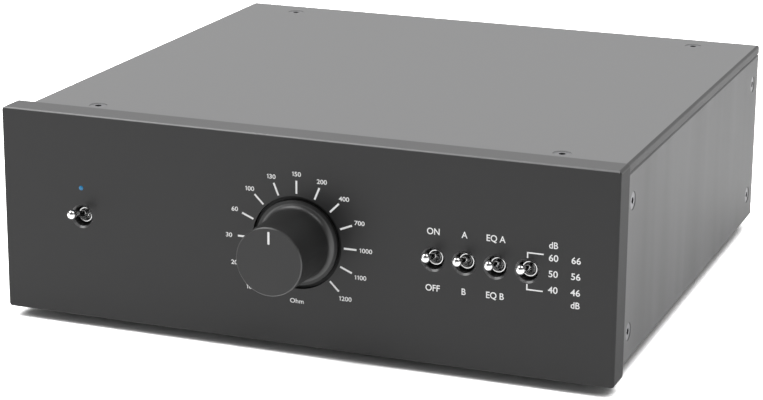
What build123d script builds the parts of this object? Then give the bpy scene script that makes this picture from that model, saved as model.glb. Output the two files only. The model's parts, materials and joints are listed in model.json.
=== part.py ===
from build123d import *
from math import cos, radians, sin
import os

# Phono preamplifier in a flat metal case, millimetres.
# +X is to the right of someone facing the front, +Y points to the rear, +Z up.
# The origin is at the bottom centre of the whole part's bounding box.

# ---------------------------------------------------------------- case plates
PANEL_WIDTH = 206.0
PANEL_HEIGHT = 67.5
PANEL_THICKNESS = 9.5
PANEL_CORNER_RADIUS = 1.1
PANEL_EDGE_RADIUS = 0.5
CASE_WIDTH = 201.8
CASE_DEPTH = 194.0
PANEL_ABOVE_COVER = 1.9
PANEL_BELOW_BASE = 1.3
PANEL_FLOOR_GAP = 3.5
COVER_THICKNESS = 3.0
COVER_EDGE_RADIUS = 0.9
SIDE_THICKNESS = 3.0
SIDE_EDGE_CHAMFER = 0.4
BASE_THICKNESS = 2.0
REAR_THICKNESS = 3.0
SUB_PANEL_THICKNESS = 2.0
SHADOW_GAP = 0.5

# ---------------------------------------------------------------- frame rails
RAIL_DEPTH = 15.0
UPPER_RAIL_HEIGHT = 13.5
LOWER_RAIL_HEIGHT = 13.0
RAIL_CHAMFER = 0.5

# --------------------------------------------------- M3 screws and their holes
SCREW_RADIUS = 1.5
THREAD_CLEARANCE = 0.05
PASS_CLEARANCE = 0.2
CUT_OVERSHOOT = 1.0
CSK_HEAD_RADIUS = 2.7
CSK_RIM = 0.1
CSK_SINK = 0.2
CSK_CLEARANCE = 0.06
CSK_SCREW_LENGTH = 8.0
HEX_SOCKET_FLATS = 2.0
HEX_SOCKET_DEPTH = 1.1
CAP_HEAD_RADIUS = 2.75
CAP_HEAD_HEIGHT = 3.0
PANEL_SCREW_LENGTH = 21.5
BOARD_SCREW_LENGTH = 5.0
FOOT_SCREW_LENGTH = 4.6
SOCKET_SCREW_LENGTH = 6.0
HOLE_EXTRA_DEPTH = 1.0
COVER_SCREW_INSET = 22.1
FRONT_COVER_SCREW_SHIFT = 1.3
BASE_SCREW_INSET = 20.9
SIDE_SCREW_INSET = 9.5
FRONT_SIDE_SCREW_SHIFT = 3.1
REAR_SIDE_SCREW_SHIFT = 2.3
PANEL_SCREW_SPACING = 120.0
REAR_SCREW_INSET = 35.9

# ----------------------------------------------------------------------- feet
FOOT_TOP_RADIUS = 10.0
FOOT_BOTTOM_RADIUS = 9.0
FOOT_EDGE_RADIUS = 0.8
FOOT_SIDE_INSET = 22.0
FOOT_FRONT_INSET = 38.0
FOOT_REAR_INSET = 32.0
FOOT_HEAD_RECESS = 3.4

# ---------------------------------------------------------------- loading dial
KNOB_REACH = 21.5
KNOB_FACE_RADIUS = 10.9
KNOB_ROOT_RADIUS = 11.2
KNOB_FLANGE_RADIUS = 13.7
KNOB_FLANGE_LIP = 0.3
KNOB_FILLET = 2.0
KNOB_FACE_CHAMFER = 0.35
KNOB_RUNNING_GAP = 0.4
KNOB_BORE_DEPTH = 15.0
POINTER_LENGTH = 4.1
POINTER_WIDTH = 0.75
POINTER_DEPTH = 0.2
POINTER_EDGE_INSET = 1.3
RECESS_RADIUS = 15.0
RECESS_DEPTH = 1.6
SHAFT_RADIUS = 3.0
SHAFT_FIT = 0.03
SHAFT_RUNNING_FIT = 0.05
SHAFT_HOLE_CLEARANCE = 0.6
SHAFT_IN_KNOB = 14.0
SHAFT_IN_BODY = 7.0
GRUB_RADIUS = 1.5
GRUB_LENGTH = 5.0
GRUB_OFFSET = 8.0
GRUB_SOCKET_FLATS = 1.5
POT_BODY_RADIUS = 12.0
POT_BODY_DEPTH = 10.0
POT_BUSHING_RADIUS = 4.5
POT_BUSHING_REACH = 6.0
POT_NUT_FLATS = 12.0
POT_NUT_THICKNESS = 2.0
POT_POCKET_RADIUS = 8.0
POT_POCKET_DEPTH = 4.5
POT_PIN_SPACING = 5.0

# -------------------------------------------------------------- toggle switches
SWITCHES = {
    "power_switch": -75.0,
    "mute_switch": 45.0,
    "input_switch": 55.0,
    "curve_switch": 65.0,
    "gain_switch": 75.0,
}
SWITCH_HOLE_RADIUS = 3.3
SWITCH_HOLE_CHAMFER = 0.6
SWITCH_POCKET_WIDTH = 10.4
SWITCH_POCKET_DEPTH = 3.5
BUSHING_RADIUS = 2.5
BUSHING_SINK = 2.5
BUSHING_RIM = 0.15
BUSHING_BORE_RADIUS = 2.0
BUSHING_MOUTH_RADIUS = 1.7
BUSHING_LIP = 0.35
BUSHING_MOUTH_FLARE = 0.4
BUSHING_MOUTH_DEPTH = 0.8
BUSHING_BORE_DEPTH = 9.0
SWITCH_NUT_FLATS = 8.0
SWITCH_NUT_THICKNESS = 2.0
SWITCH_NUT_TURN = 30.0
SWITCH_FRAME_WIDTH = 8.0
SWITCH_FRAME_HEIGHT = 13.2
SWITCH_FRAME_THICKNESS = 1.0
SWITCH_HOUSING_INSET = 0.3
SWITCH_HOUSING_DEPTH = 8.5
SWITCH_PIN_PITCH = 4.7
LEVER_TILT = 12.5
LEVER_BALL_SINK = 4.4
LEVER_PIVOT_RADIUS = 1.93
LEVER_NECK_RADIUS = 1.05
LEVER_STEM_RADIUS = 0.8
LEVER_LENGTH = 11.2
LEVER_TIP_RADIUS = 1.6
LEVER_TAIL_RADIUS = 0.75
LEVER_TAIL_LENGTH = 4.2
LEVER_PIN_RADIUS = 0.6
LEVER_PIN_LENGTH = 4.6
LEVER_PIN_FIT = 0.05

# ------------------------------------------------------------- indicator light
LED_X = -75.0
LED_HEIGHT = 43.2
LED_RADIUS = 0.75
LED_DOME = 0.25
LED_SHOULDER_RADIUS = 0.4
LED_SHOULDER_HEIGHT = 0.19
LED_BODY_RADIUS = 1.5
LED_NOSE_LENGTH = 6.0
LED_FIT = 0.05
LED_LEG_SPACING = 1.3
LED_LEG_SIZE = 0.5
LED_BODY_LENGTH = 8.0

# --------------------------------------------------------------- circuit boards
BOARD_THICKNESS = 1.6
CONTROL_BOARD_SETBACK = 2.0
CONTROL_BOARD_WIDTH = 176.0
CONTROL_BOARD_HEIGHT = 29.0
PIN_WIDTH = 1.2
PIN_THICKNESS = 0.8
PIN_SLOT_CLEARANCE = 0.2
PIN_PROUD = 1.0
MAIN_BOARD_WIDTH = 178.0
MAIN_BOARD_FRONT_GAP = 4.5
MAIN_BOARD_REAR_GAP = 24.0
MAIN_BOARD_CORNER = 3.0
STANDOFF_FLATS = 5.5
STANDOFF_HEIGHT = 7.0
STANDOFF_SIDE_INSET = 7.0
STANDOFF_END_INSET = 12.0
STANDOFF_BORE_DEPTH = 5.0
CAPACITOR_RADIUS = 6.3
CAPACITOR_HEIGHT = 25.0
CAPACITOR_EDGE = 1.0
CAPACITOR_GROOVE = 0.6
CAPACITOR_GROOVE_HEIGHT = 2.4
CAPACITOR_PITCH = 18.0
CAPACITOR_ROWS = 2
CAPACITOR_COLUMNS = 3
CAPACITOR_SIDE_INSET = 15.0
CAPACITOR_FRONT = 48.0
RELAY_SIZE = (10.0, 15.0, 10.0)
RELAY_EDGE = 0.6
RELAY_PITCH = 22.0
RELAY_COUNT = 4
RELAY_X = -14.0
RELAY_FRONT = 66.0
CHIP_SIZE = (6.4, 9.4, 3.3)
CHIP_LIFT = 0.6
CHIP_LEG = 0.5
CHIP_LEG_PITCH = 2.54
CHIP_LEGS_PER_SIDE = 4
CHIP_PITCH_X = 24.0
CHIP_PITCH_Y = 30.0
CHIP_COLUMNS = 3
CHIP_ROWS = 3
CHIP_SIDE_INSET = 19.0
CHIP_FRONT = 52.0

# ----------------------------------------------------------------- rear sockets
SOCKET_CENTRE_HEIGHT = 33.0
PHONO_RISE = 10.0
PHONO_SHIFT = 0.15
PHONO_SLEEVE_RADIUS = 4.15
PHONO_SLEEVE_REACH = 9.5
PHONO_SLEEVE_BORE = 3.6
PHONO_SLEEVE_CHAMFER = 0.3
PHONO_FLANGE_RADIUS = 6.0
PHONO_FLANGE_THICKNESS = 1.8
PHONO_BARREL_RADIUS = 4.0
PHONO_BARREL_DEPTH = 9.0
PHONO_INSULATOR_SINK = 0.6
PHONO_CONTACT_RADIUS = 2.3
PHONO_CONTACT_SINK = 1.2
PHONO_PIN_BORE_RADIUS = 1.65
PHONO_PIN_BORE_DEPTH = 9.5
PHONO_TAIL_RADIUS = 0.9
PHONO_TAIL_LENGTH = 5.0
NEST_FIT = 0.03
PANEL_HOLE_CLEARANCE = 0.15
SOCKET_NUT_FLATS = 11.0
SOCKET_NUT_THICKNESS = 2.2

BALANCED_EDGE_INSET = 15.9
BALANCED_PITCH = 29.0
FLANGE_WIDTH = 26.0
FLANGE_HEIGHT = 31.0
FLANGE_THICKNESS = 2.0
FLANGE_CORNER_RADIUS = 2.5
FLANGE_SCREW_X = 9.5
FLANGE_SCREW_Z = 12.0
BALANCED_BARREL_RADIUS = 11.8
FEMALE_DEPTH = 19.0
FEMALE_GROOVE_OUTER = 9.5
FEMALE_INSERT_RADIUS = 7.95
FEMALE_GROOVE_DEPTH = 14.0
FEMALE_CONTACT_RADIUS = 1.3
FEMALE_CONTACT_DEPTH = 12.0
MALE_DEPTH = 16.0
MALE_CAVITY_RADIUS = 8.1
MALE_CAVITY_DEPTH = 13.5
MALE_PIN_RADIUS = 1.2
MALE_PIN_SINK = 1.5
MALE_PIN_TAIL = 4.0
MALE_PIN_TAIL_RADIUS = 1.0
MALE_PIN_CHAMFER = 0.4
CONTACT_CIRCLE_RADIUS = 4.05
CONTACT_ANGLES = (30.0, 150.0, 270.0)
TAB_WIDTH = 7.4
TAB_THICKNESS = 1.1
TAB_HEIGHT = 10.4
TAB_PROUD = 3.0
TAB_EDGE_RADIUS = 0.35
TAB_STEM_DEPTH = 8.0
TAB_TRAVEL = 1.2
TAB_CLEARANCE = 0.25

POST_X = 9.0
POST_HEIGHT_OFFSET = 10.0
POST_REACH = 12.5
POST_RADIUS = 2.0
POST_FLANGE_RADIUS = 4.5
POST_FLANGE_THICKNESS = 3.0
POST_TAIL = 7.0
POST_NUT_FLATS = 7.0
POST_NUT_THICKNESS = 2.0
POST_RUNNING_FIT = 0.06
WASHER_RADIUS = 4.3
WASHER_THICKNESS = 0.8
THUMB_NUT_RADIUS = 4.7
THUMB_NUT_LENGTH = 5.4
THUMB_NUT_FLUTES = 18
THUMB_NUT_FLUTE_RADIUS = 0.45
THUMB_NUT_CHAMFER = 0.5

DC_X = -9.0
DC_HEIGHT_OFFSET = -10.0
DC_FLANGE_RADIUS = 6.0
DC_FLANGE_THICKNESS = 1.5
DC_BARREL_RADIUS = 4.0
DC_BARREL_DEPTH = 12.0
DC_CAVITY_RADIUS = 3.1
DC_CAVITY_DEPTH = 9.5
DC_PIN_RADIUS = 1.05
DC_PIN_SINK = 1.0
DC_PIN_TAIL = 3.0

# ------------------------------------------------------------- derived planes
FRONT_Y = KNOB_REACH - (KNOB_REACH + CASE_DEPTH + POST_REACH) / 2
PANEL_BACK_Y = FRONT_Y + PANEL_THICKNESS
SUB_BACK_Y = PANEL_BACK_Y + SUB_PANEL_THICKNESS
REAR_Y = FRONT_Y + CASE_DEPTH
REAR_INNER_Y = REAR_Y - REAR_THICKNESS
FRONT_RAIL_Y = SUB_BACK_Y + RAIL_DEPTH / 2
REAR_RAIL_Y = REAR_INNER_Y - RAIL_DEPTH / 2
PANEL_TOP_Z = PANEL_FLOOR_GAP + PANEL_HEIGHT
CASE_BOTTOM_Z = PANEL_FLOOR_GAP + PANEL_BELOW_BASE
CASE_TOP_Z = PANEL_TOP_Z - PANEL_ABOVE_COVER
COVER_BOTTOM_Z = CASE_TOP_Z - COVER_THICKNESS
BASE_TOP_Z = CASE_BOTTOM_Z + BASE_THICKNESS
SIDE_TOP_Z = COVER_BOTTOM_Z - SHADOW_GAP
SIDE_OUTER_X = CASE_WIDTH / 2
SIDE_INNER_X = SIDE_OUTER_X - SIDE_THICKNESS
CONTROL_Z = PANEL_FLOOR_GAP + PANEL_HEIGHT / 2
UPPER_RAIL_BOTTOM_Z = COVER_BOTTOM_Z - UPPER_RAIL_HEIGHT
LOWER_RAIL_TOP_Z = BASE_TOP_Z + LOWER_RAIL_HEIGHT
UPPER_RAIL_MID_Z = COVER_BOTTOM_Z - UPPER_RAIL_HEIGHT / 2
LOWER_RAIL_MID_Z = BASE_TOP_Z + LOWER_RAIL_HEIGHT / 2
SWITCH_BACK_Y = SUB_BACK_Y + SWITCH_FRAME_THICKNESS + SWITCH_HOUSING_DEPTH
POT_BACK_Y = SUB_BACK_Y + POT_BODY_DEPTH
CONTROL_BOARD_Y = max(SWITCH_BACK_Y, POT_BACK_Y) + CONTROL_BOARD_SETBACK
MAIN_BOARD_Z = BASE_TOP_Z + STANDOFF_HEIGHT
MAIN_BOARD_TOP_Z = MAIN_BOARD_Z + BOARD_THICKNESS
SOCKET_Z = PANEL_FLOOR_GAP + SOCKET_CENTRE_HEIGHT
LED_Z = PANEL_FLOOR_GAP + LED_HEIGHT
POST_Z = SOCKET_Z + POST_HEIGHT_OFFSET
DC_Z = SOCKET_Z + DC_HEIGHT_OFFSET

# The balanced sockets keep to the rear panel's ends. Each column of phono sockets
# stands a little outward of the middle of the strip that they and the post leave.
OUTER_BALANCED_X = SIDE_INNER_X - BALANCED_EDGE_INSET
INNER_BALANCED_X = OUTER_BALANCED_X - BALANCED_PITCH
PHONO_STRIP = (POST_X + THUMB_NUT_RADIUS, INNER_BALANCED_X - FLANGE_WIDTH / 2)
PHONO_X = sum(PHONO_STRIP) / 2 + PHONO_SHIFT
BALANCED_INPUTS = {"balanced_in_left": OUTER_BALANCED_X, "balanced_in_right": INNER_BALANCED_X}
BALANCED_OUTPUTS = {"balanced_out_left": -INNER_BALANCED_X, "balanced_out_right": -OUTER_BALANCED_X}
PHONO_SOCKETS = {
    "phono_in_left": (PHONO_X, PHONO_RISE),
    "phono_in_right": (PHONO_X, -PHONO_RISE),
    "phono_out_left": (-PHONO_X, PHONO_RISE),
    "phono_out_right": (-PHONO_X, -PHONO_RISE),
}

UP = (0, 0, 1)
DOWN = (0, 0, -1)
REARWARD = (0, 1, 0)
FORWARD = (0, -1, 0)


# -------------------------------------------------------------- shape helpers
def block(x_range, y_range, z_range):
    """Box between two limits on each axis."""
    centre = [sum(limits) / 2 for limits in (x_range, y_range, z_range)]
    size = [limits[1] - limits[0] for limits in (x_range, y_range, z_range)]
    return Pos(*centre) * Box(*size)


def rod_y(radius, y_start, y_end, x, z):
    return Pos(x, (y_start + y_end) / 2, z) * Rot(X=90) * Cylinder(radius, y_end - y_start)


def rod_z(radius, z_start, z_end, x, y):
    return Pos(x, y, (z_start + z_end) / 2) * Cylinder(radius, z_end - z_start)


def turned(outline):
    """Solid of revolution about Z from (radius, height) corners."""
    face = make_face(Polyline(*[(r, 0, h) for r, h in outline], close=True))
    return revolve(face, Axis.Z)


def facing(point, direction):
    """Location whose local +Z points along direction, with a level local X."""
    across = (0, 1, 0) if direction[0] else (1, 0, 0)
    return Plane(origin=point, x_dir=across, z_dir=direction).location


def outward_from_rear(x, z):
    """Local +Z leaves the rear panel's outer face; local +Y is up."""
    return Plane(origin=(x, REAR_Y, z), x_dir=(-1, 0, 0), z_dir=REARWARD).location


def hexagon(flats, bottom, top):
    sketch = RegularPolygon(flats / 2, 6, major_radius=False)
    return Pos(0, 0, bottom) * extrude(sketch, top - bottom)


def solids_of(pieces):
    """One compound that keeps its pieces apart."""
    return Compound([solid for piece in pieces for solid in piece.solids()])


# --------------------------------------------------------------------- screws
def countersunk_outline(extra, length):
    """Outline of a 90 degree countersunk screw, its head's top at height 0."""
    head = CSK_HEAD_RADIUS + extra
    shank = SCREW_RADIUS + extra
    drop = CSK_RIM + head - shank
    return [(0, 0), (head, 0), (head, -CSK_RIM), (shank, -drop), (shank, -length), (0, -length)]


def countersunk_screw(length):
    """Screw whose head lies just below the surface at height 0."""
    screw = turned(countersunk_outline(0, length))
    screw -= hexagon(HEX_SOCKET_FLATS, -HEX_SOCKET_DEPTH, CUT_OVERSHOOT)
    return Pos(0, 0, -CSK_SINK) * screw


def countersunk_hole():
    """Hole whose cone runs past the sunk head up to the surface."""
    seat = turned(countersunk_outline(CSK_CLEARANCE, CSK_SCREW_LENGTH + HOLE_EXTRA_DEPTH))
    head = CSK_HEAD_RADIUS + CSK_CLEARANCE
    mouth = turned(
        [
            (0, -CSK_SINK),
            (head, -CSK_SINK),
            (head + CSK_SINK, 0),
            (head + CSK_SINK, CUT_OVERSHOOT),
            (0, CUT_OVERSHOOT),
        ]
    )
    return Pos(0, 0, -CSK_SINK) * seat + mouth


def cap_screw(length, head_height=CAP_HEAD_HEIGHT):
    """Socket cap screw: the underside of the head is at height 0."""
    head = Pos(0, 0, head_height / 2) * Cylinder(CAP_HEAD_RADIUS, head_height)
    shank = Pos(0, 0, -length / 2) * Cylinder(SCREW_RADIUS, length)
    socket_floor = head_height - HEX_SOCKET_DEPTH
    return head + shank - hexagon(HEX_SOCKET_FLATS, socket_floor, head_height + CUT_OVERSHOOT)


def straight_hole(clearance, length):
    """Cut for a screw's shank that runs down from height 0."""
    top = CUT_OVERSHOOT
    return Pos(0, 0, (top - length) / 2) * Cylinder(SCREW_RADIUS + clearance, length + top)


def cover_screw_places():
    half = SIDE_OUTER_X - COVER_SCREW_INSET
    rows = (FRONT_RAIL_Y + FRONT_COVER_SCREW_SHIFT, REAR_RAIL_Y)
    return [facing((x, y, CASE_TOP_Z), UP) for y in rows for x in (-half, half)]


def base_screw_places():
    half = SIDE_OUTER_X - BASE_SCREW_INSET
    return [facing((x, y, CASE_BOTTOM_Z), DOWN) for y in (FRONT_RAIL_Y, REAR_RAIL_Y) for x in (-half, half)]


def side_screw_places(side):
    """side is -1 for the left panel and +1 for the right one."""
    heights = (CASE_BOTTOM_Z + SIDE_SCREW_INSET, SIDE_TOP_Z - SIDE_SCREW_INSET)
    rows = (FRONT_RAIL_Y + FRONT_SIDE_SCREW_SHIFT, REAR_RAIL_Y + REAR_SIDE_SCREW_SHIFT)
    return [facing((side * SIDE_OUTER_X, y, z), (side, 0, 0)) for y in rows for z in heights]


def rear_screw_places():
    half = SIDE_OUTER_X - REAR_SCREW_INSET
    heights = (LOWER_RAIL_MID_Z, UPPER_RAIL_MID_Z)
    return [facing((x, REAR_Y, z), REARWARD) for z in heights for x in (-half, half)]


def panel_screw_places():
    """Heads bear on the rear faces of the front rails."""
    half = PANEL_SCREW_SPACING / 2
    y = SUB_BACK_Y + RAIL_DEPTH
    heights = (LOWER_RAIL_MID_Z, UPPER_RAIL_MID_Z)
    return [facing((x, y, z), REARWARD) for z in heights for x in (-half, half)]


def standoff_places():
    half_width = MAIN_BOARD_WIDTH / 2 - STANDOFF_SIDE_INSET
    front, rear = main_board_span()
    rows = (front + STANDOFF_END_INSET, rear - STANDOFF_END_INSET)
    return [(x, y) for y in rows for x in (-half_width, half_width)]


def foot_places():
    half = SIDE_OUTER_X - FOOT_SIDE_INSET
    front = FRONT_Y + FOOT_FRONT_INSET
    rear = REAR_Y - FOOT_REAR_INSET
    return {
        "front_left_foot": (-half, front),
        "front_right_foot": (half, front),
        "rear_left_foot": (-half, rear),
        "rear_right_foot": (half, rear),
    }


def flange_screw_places(x):
    """Two screws on opposite corners of a balanced socket's flange."""
    centre = outward_from_rear(x, SOCKET_Z)
    corners = ((-FLANGE_SCREW_X, FLANGE_SCREW_Z), (FLANGE_SCREW_X, -FLANGE_SCREW_Z))
    return [centre * Pos(u, v, FLANGE_THICKNESS) for u, v in corners]


def placed(places, piece):
    return [place * piece for place in places]


# ---------------------------------------------------------------- case plates
def switch_hole(x):
    """Chamfered front hole of one switch."""
    mouth = SWITCH_HOLE_RADIUS + SWITCH_HOLE_CHAMFER + CUT_OVERSHOOT
    floor = -(PANEL_THICKNESS + CUT_OVERSHOOT)
    outline = [
        (0, CUT_OVERSHOOT),
        (mouth, CUT_OVERSHOOT),
        (SWITCH_HOLE_RADIUS, -SWITCH_HOLE_CHAMFER),
        (SWITCH_HOLE_RADIUS, floor),
        (0, floor),
    ]
    return facing((x, FRONT_Y, CONTROL_Z), FORWARD) * turned(outline)


def nut_pocket(x_first, x_last):
    """Round-ended pocket milled in the panel's back for a row of switch nuts."""
    length = x_last - x_first + SWITCH_POCKET_WIDTH
    ends = SWITCH_POCKET_WIDTH / 2
    y_range = (PANEL_BACK_Y - SWITCH_POCKET_DEPTH, PANEL_BACK_Y + CUT_OVERSHOOT)
    middle = (x_first + x_last) / 2
    cut = rod_y(ends, *y_range, x_first, CONTROL_Z) + rod_y(ends, *y_range, x_last, CONTROL_Z)
    flat = length - SWITCH_POCKET_WIDTH
    if flat > 0:
        z_range = (CONTROL_Z - ends, CONTROL_Z + ends)
        cut += block((middle - flat / 2, middle + flat / 2), y_range, z_range)
    return cut


def front_panel():
    half = PANEL_WIDTH / 2
    plate = block((-half, half), (FRONT_Y, PANEL_BACK_Y), (PANEL_FLOOR_GAP, PANEL_TOP_Z))
    plate = fillet(plate.edges().filter_by(Axis.Y), PANEL_CORNER_RADIUS)
    plate = fillet(plate.faces().sort_by(Axis.Y)[0].edges(), PANEL_EDGE_RADIUS)
    before, behind = FRONT_Y - CUT_OVERSHOOT, PANEL_BACK_Y + CUT_OVERSHOOT
    shaft_hole = SHAFT_RADIUS + SHAFT_HOLE_CLEARANCE
    row = sorted(SWITCHES.values())
    cuts = [
        rod_y(RECESS_RADIUS, before, FRONT_Y + RECESS_DEPTH, 0, CONTROL_Z),
        rod_y(shaft_hole, before, behind, 0, CONTROL_Z),
        rod_y(POT_POCKET_RADIUS, PANEL_BACK_Y - POT_POCKET_DEPTH, behind, 0, CONTROL_Z),
        rod_y(LED_RADIUS + LED_FIT, before, behind, LED_X, LED_Z),
        rod_y(LED_BODY_RADIUS + LED_FIT, FRONT_Y + LED_NOSE_LENGTH, behind, LED_X, LED_Z),
        nut_pocket(row[0], row[0]),
        nut_pocket(row[1], row[-1]),
    ]
    cuts += [switch_hole(x) for x in SWITCHES.values()]
    tapped = straight_hole(THREAD_CLEARANCE, PANEL_SCREW_LENGTH + HOLE_EXTRA_DEPTH)
    return plate - cuts - placed(panel_screw_places(), tapped)


def sub_panel():
    """Inner plate that carries the switches and the dial's potentiometer."""
    plate = block(
        (-SIDE_INNER_X, SIDE_INNER_X),
        (PANEL_BACK_Y, SUB_BACK_Y),
        (BASE_TOP_Z, COVER_BOTTOM_Z),
    )
    y_range = (PANEL_BACK_Y - CUT_OVERSHOOT, SUB_BACK_Y + CUT_OVERSHOOT)
    cuts = [rod_y(BUSHING_RADIUS + PASS_CLEARANCE, *y_range, x, CONTROL_Z) for x in SWITCHES.values()]
    cuts.append(rod_y(POT_BUSHING_RADIUS + PASS_CLEARANCE, *y_range, 0, CONTROL_Z))
    cuts.append(rod_y(LED_BODY_RADIUS + LED_FIT, *y_range, LED_X, LED_Z))
    passing = straight_hole(PASS_CLEARANCE, PANEL_SCREW_LENGTH)
    return plate - cuts - placed(panel_screw_places(), passing)


def rail(middle_y, z_range, cutters):
    y_range = (middle_y - RAIL_DEPTH / 2, middle_y + RAIL_DEPTH / 2)
    bar = block((-SIDE_INNER_X, SIDE_INNER_X), y_range, z_range)
    bar = chamfer(bar.edges().filter_by(Axis.X), RAIL_CHAMFER)
    return bar - cutters


def tapped_holes(places):
    hole = straight_hole(THREAD_CLEARANCE, CSK_SCREW_LENGTH + HOLE_EXTRA_DEPTH)
    return placed(places, hole)


def frame_rails():
    """Two bars behind the front panel and two inside the rear panel."""
    upper = (UPPER_RAIL_BOTTOM_Z, COVER_BOTTOM_Z)
    lower = (BASE_TOP_Z, LOWER_RAIL_TOP_Z)
    sides = side_screw_places(-1) + side_screw_places(1)
    panel_holes = placed(panel_screw_places(), straight_hole(PASS_CLEARANCE, PANEL_SCREW_LENGTH))
    ends = tapped_holes(sides)
    from_top = tapped_holes(cover_screw_places())
    from_below = tapped_holes(base_screw_places())
    from_rear = tapped_holes(rear_screw_places())
    return {
        "front_upper_rail": rail(FRONT_RAIL_Y, upper, ends + from_top + panel_holes),
        "front_lower_rail": rail(FRONT_RAIL_Y, lower, ends + from_below + panel_holes),
        "rear_upper_rail": rail(REAR_RAIL_Y, upper, ends + from_top + from_rear),
        "rear_lower_rail": rail(REAR_RAIL_Y, lower, ends + from_below + from_rear),
    }


def top_cover():
    plate = block(
        (-SIDE_OUTER_X, SIDE_OUTER_X),
        (PANEL_BACK_Y, REAR_Y),
        (COVER_BOTTOM_Z, CASE_TOP_Z),
    )
    rim = plate.faces().sort_by(Axis.Z)[-1].edges()
    rounded = rim.filter_by(Axis.Y) + rim.filter_by(Axis.X).sort_by(Axis.Y)[-1:]
    plate = fillet(rounded, COVER_EDGE_RADIUS)
    return plate - placed(cover_screw_places(), countersunk_hole())


def side_panel(side):
    inner, outer = side * SIDE_INNER_X, side * SIDE_OUTER_X
    plate = block(
        (min(inner, outer), max(inner, outer)),
        (PANEL_BACK_Y, REAR_Y),
        (CASE_BOTTOM_Z, SIDE_TOP_Z),
    )
    outer_face = plate.faces().sort_by(Axis.X)[-1 if side > 0 else 0]
    plate = chamfer(outer_face.edges(), SIDE_EDGE_CHAMFER)
    return plate - placed(side_screw_places(side), countersunk_hole())


def base_plate():
    plate = block(
        (-SIDE_INNER_X, SIDE_INNER_X),
        (PANEL_BACK_Y, REAR_Y),
        (CASE_BOTTOM_Z, BASE_TOP_Z),
    )
    hole = SCREW_RADIUS + THREAD_CLEARANCE
    z_range = (CASE_BOTTOM_Z - CUT_OVERSHOOT, BASE_TOP_Z + CUT_OVERSHOOT)
    threads = [rod_z(hole, *z_range, *place) for place in foot_places().values()]
    threads += [rod_z(hole, *z_range, *place) for place in standoff_places()]
    return plate - threads - placed(base_screw_places(), countersunk_hole())


def rear_panel():
    plate = block(
        (-SIDE_INNER_X, SIDE_INNER_X),
        (REAR_INNER_Y, REAR_Y),
        (BASE_TOP_Z, COVER_BOTTOM_Z),
    )
    y_range = (REAR_INNER_Y - CUT_OVERSHOOT, REAR_Y + CUT_OVERSHOOT)
    cuts = [
        rod_y(PHONO_BARREL_RADIUS + PANEL_HOLE_CLEARANCE, *y_range, x, SOCKET_Z + rise)
        for x, rise in PHONO_SOCKETS.values()
    ]
    balanced = list(BALANCED_INPUTS.values()) + list(BALANCED_OUTPUTS.values())
    barrel_hole = BALANCED_BARREL_RADIUS + PANEL_HOLE_CLEARANCE
    thread = straight_hole(THREAD_CLEARANCE, SOCKET_SCREW_LENGTH + HOLE_EXTRA_DEPTH)
    for x in balanced:
        cuts.append(rod_y(barrel_hole, *y_range, x, SOCKET_Z))
        cuts += placed(flange_screw_places(x), thread)
    cuts.append(rod_y(POST_RADIUS + PANEL_HOLE_CLEARANCE, *y_range, POST_X, POST_Z))
    cuts.append(rod_y(DC_BARREL_RADIUS + PANEL_HOLE_CLEARANCE, *y_range, DC_X, DC_Z))
    return plate - cuts - placed(rear_screw_places(), countersunk_hole())


# ----------------------------------------------------------------------- feet
def foot(x, y):
    """Turned rubber foot with a recess for its screw's head."""
    bore = SCREW_RADIUS + PASS_CLEARANCE
    recess = CAP_HEAD_RADIUS + PASS_CLEARANCE
    corner = FOOT_BOTTOM_RADIUS - FOOT_EDGE_RADIUS
    rim = FOOT_EDGE_RADIUS * (1 - cos(radians(45)))
    outline = (
        Polyline(
            (corner, 0, 0),
            (recess, 0, 0),
            (recess, 0, FOOT_HEAD_RECESS),
            (bore, 0, FOOT_HEAD_RECESS),
            (bore, 0, CASE_BOTTOM_Z),
            (FOOT_TOP_RADIUS, 0, CASE_BOTTOM_Z),
            (FOOT_BOTTOM_RADIUS, 0, FOOT_EDGE_RADIUS),
        )
        + ThreePointArc(
            (FOOT_BOTTOM_RADIUS, 0, FOOT_EDGE_RADIUS),
            (FOOT_BOTTOM_RADIUS - rim, 0, rim),
            (corner, 0, 0),
        )
    )
    return Pos(x, y, 0) * revolve(make_face(outline), Axis.Z)


# ----------------------------------------------------------------------- dial
def dial_frame():
    """Local +Z points out of the front, local +Y up, origin on the panel's face."""
    return Plane(origin=(0, FRONT_Y, CONTROL_Z), x_dir=(1, 0, 0), z_dir=FORWARD).location


def grub_angle_place():
    """Axis of the grub screw, from the knob's underside in to the shaft."""
    return Pos(0, 0, GRUB_OFFSET) * Rot(X=90)


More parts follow.
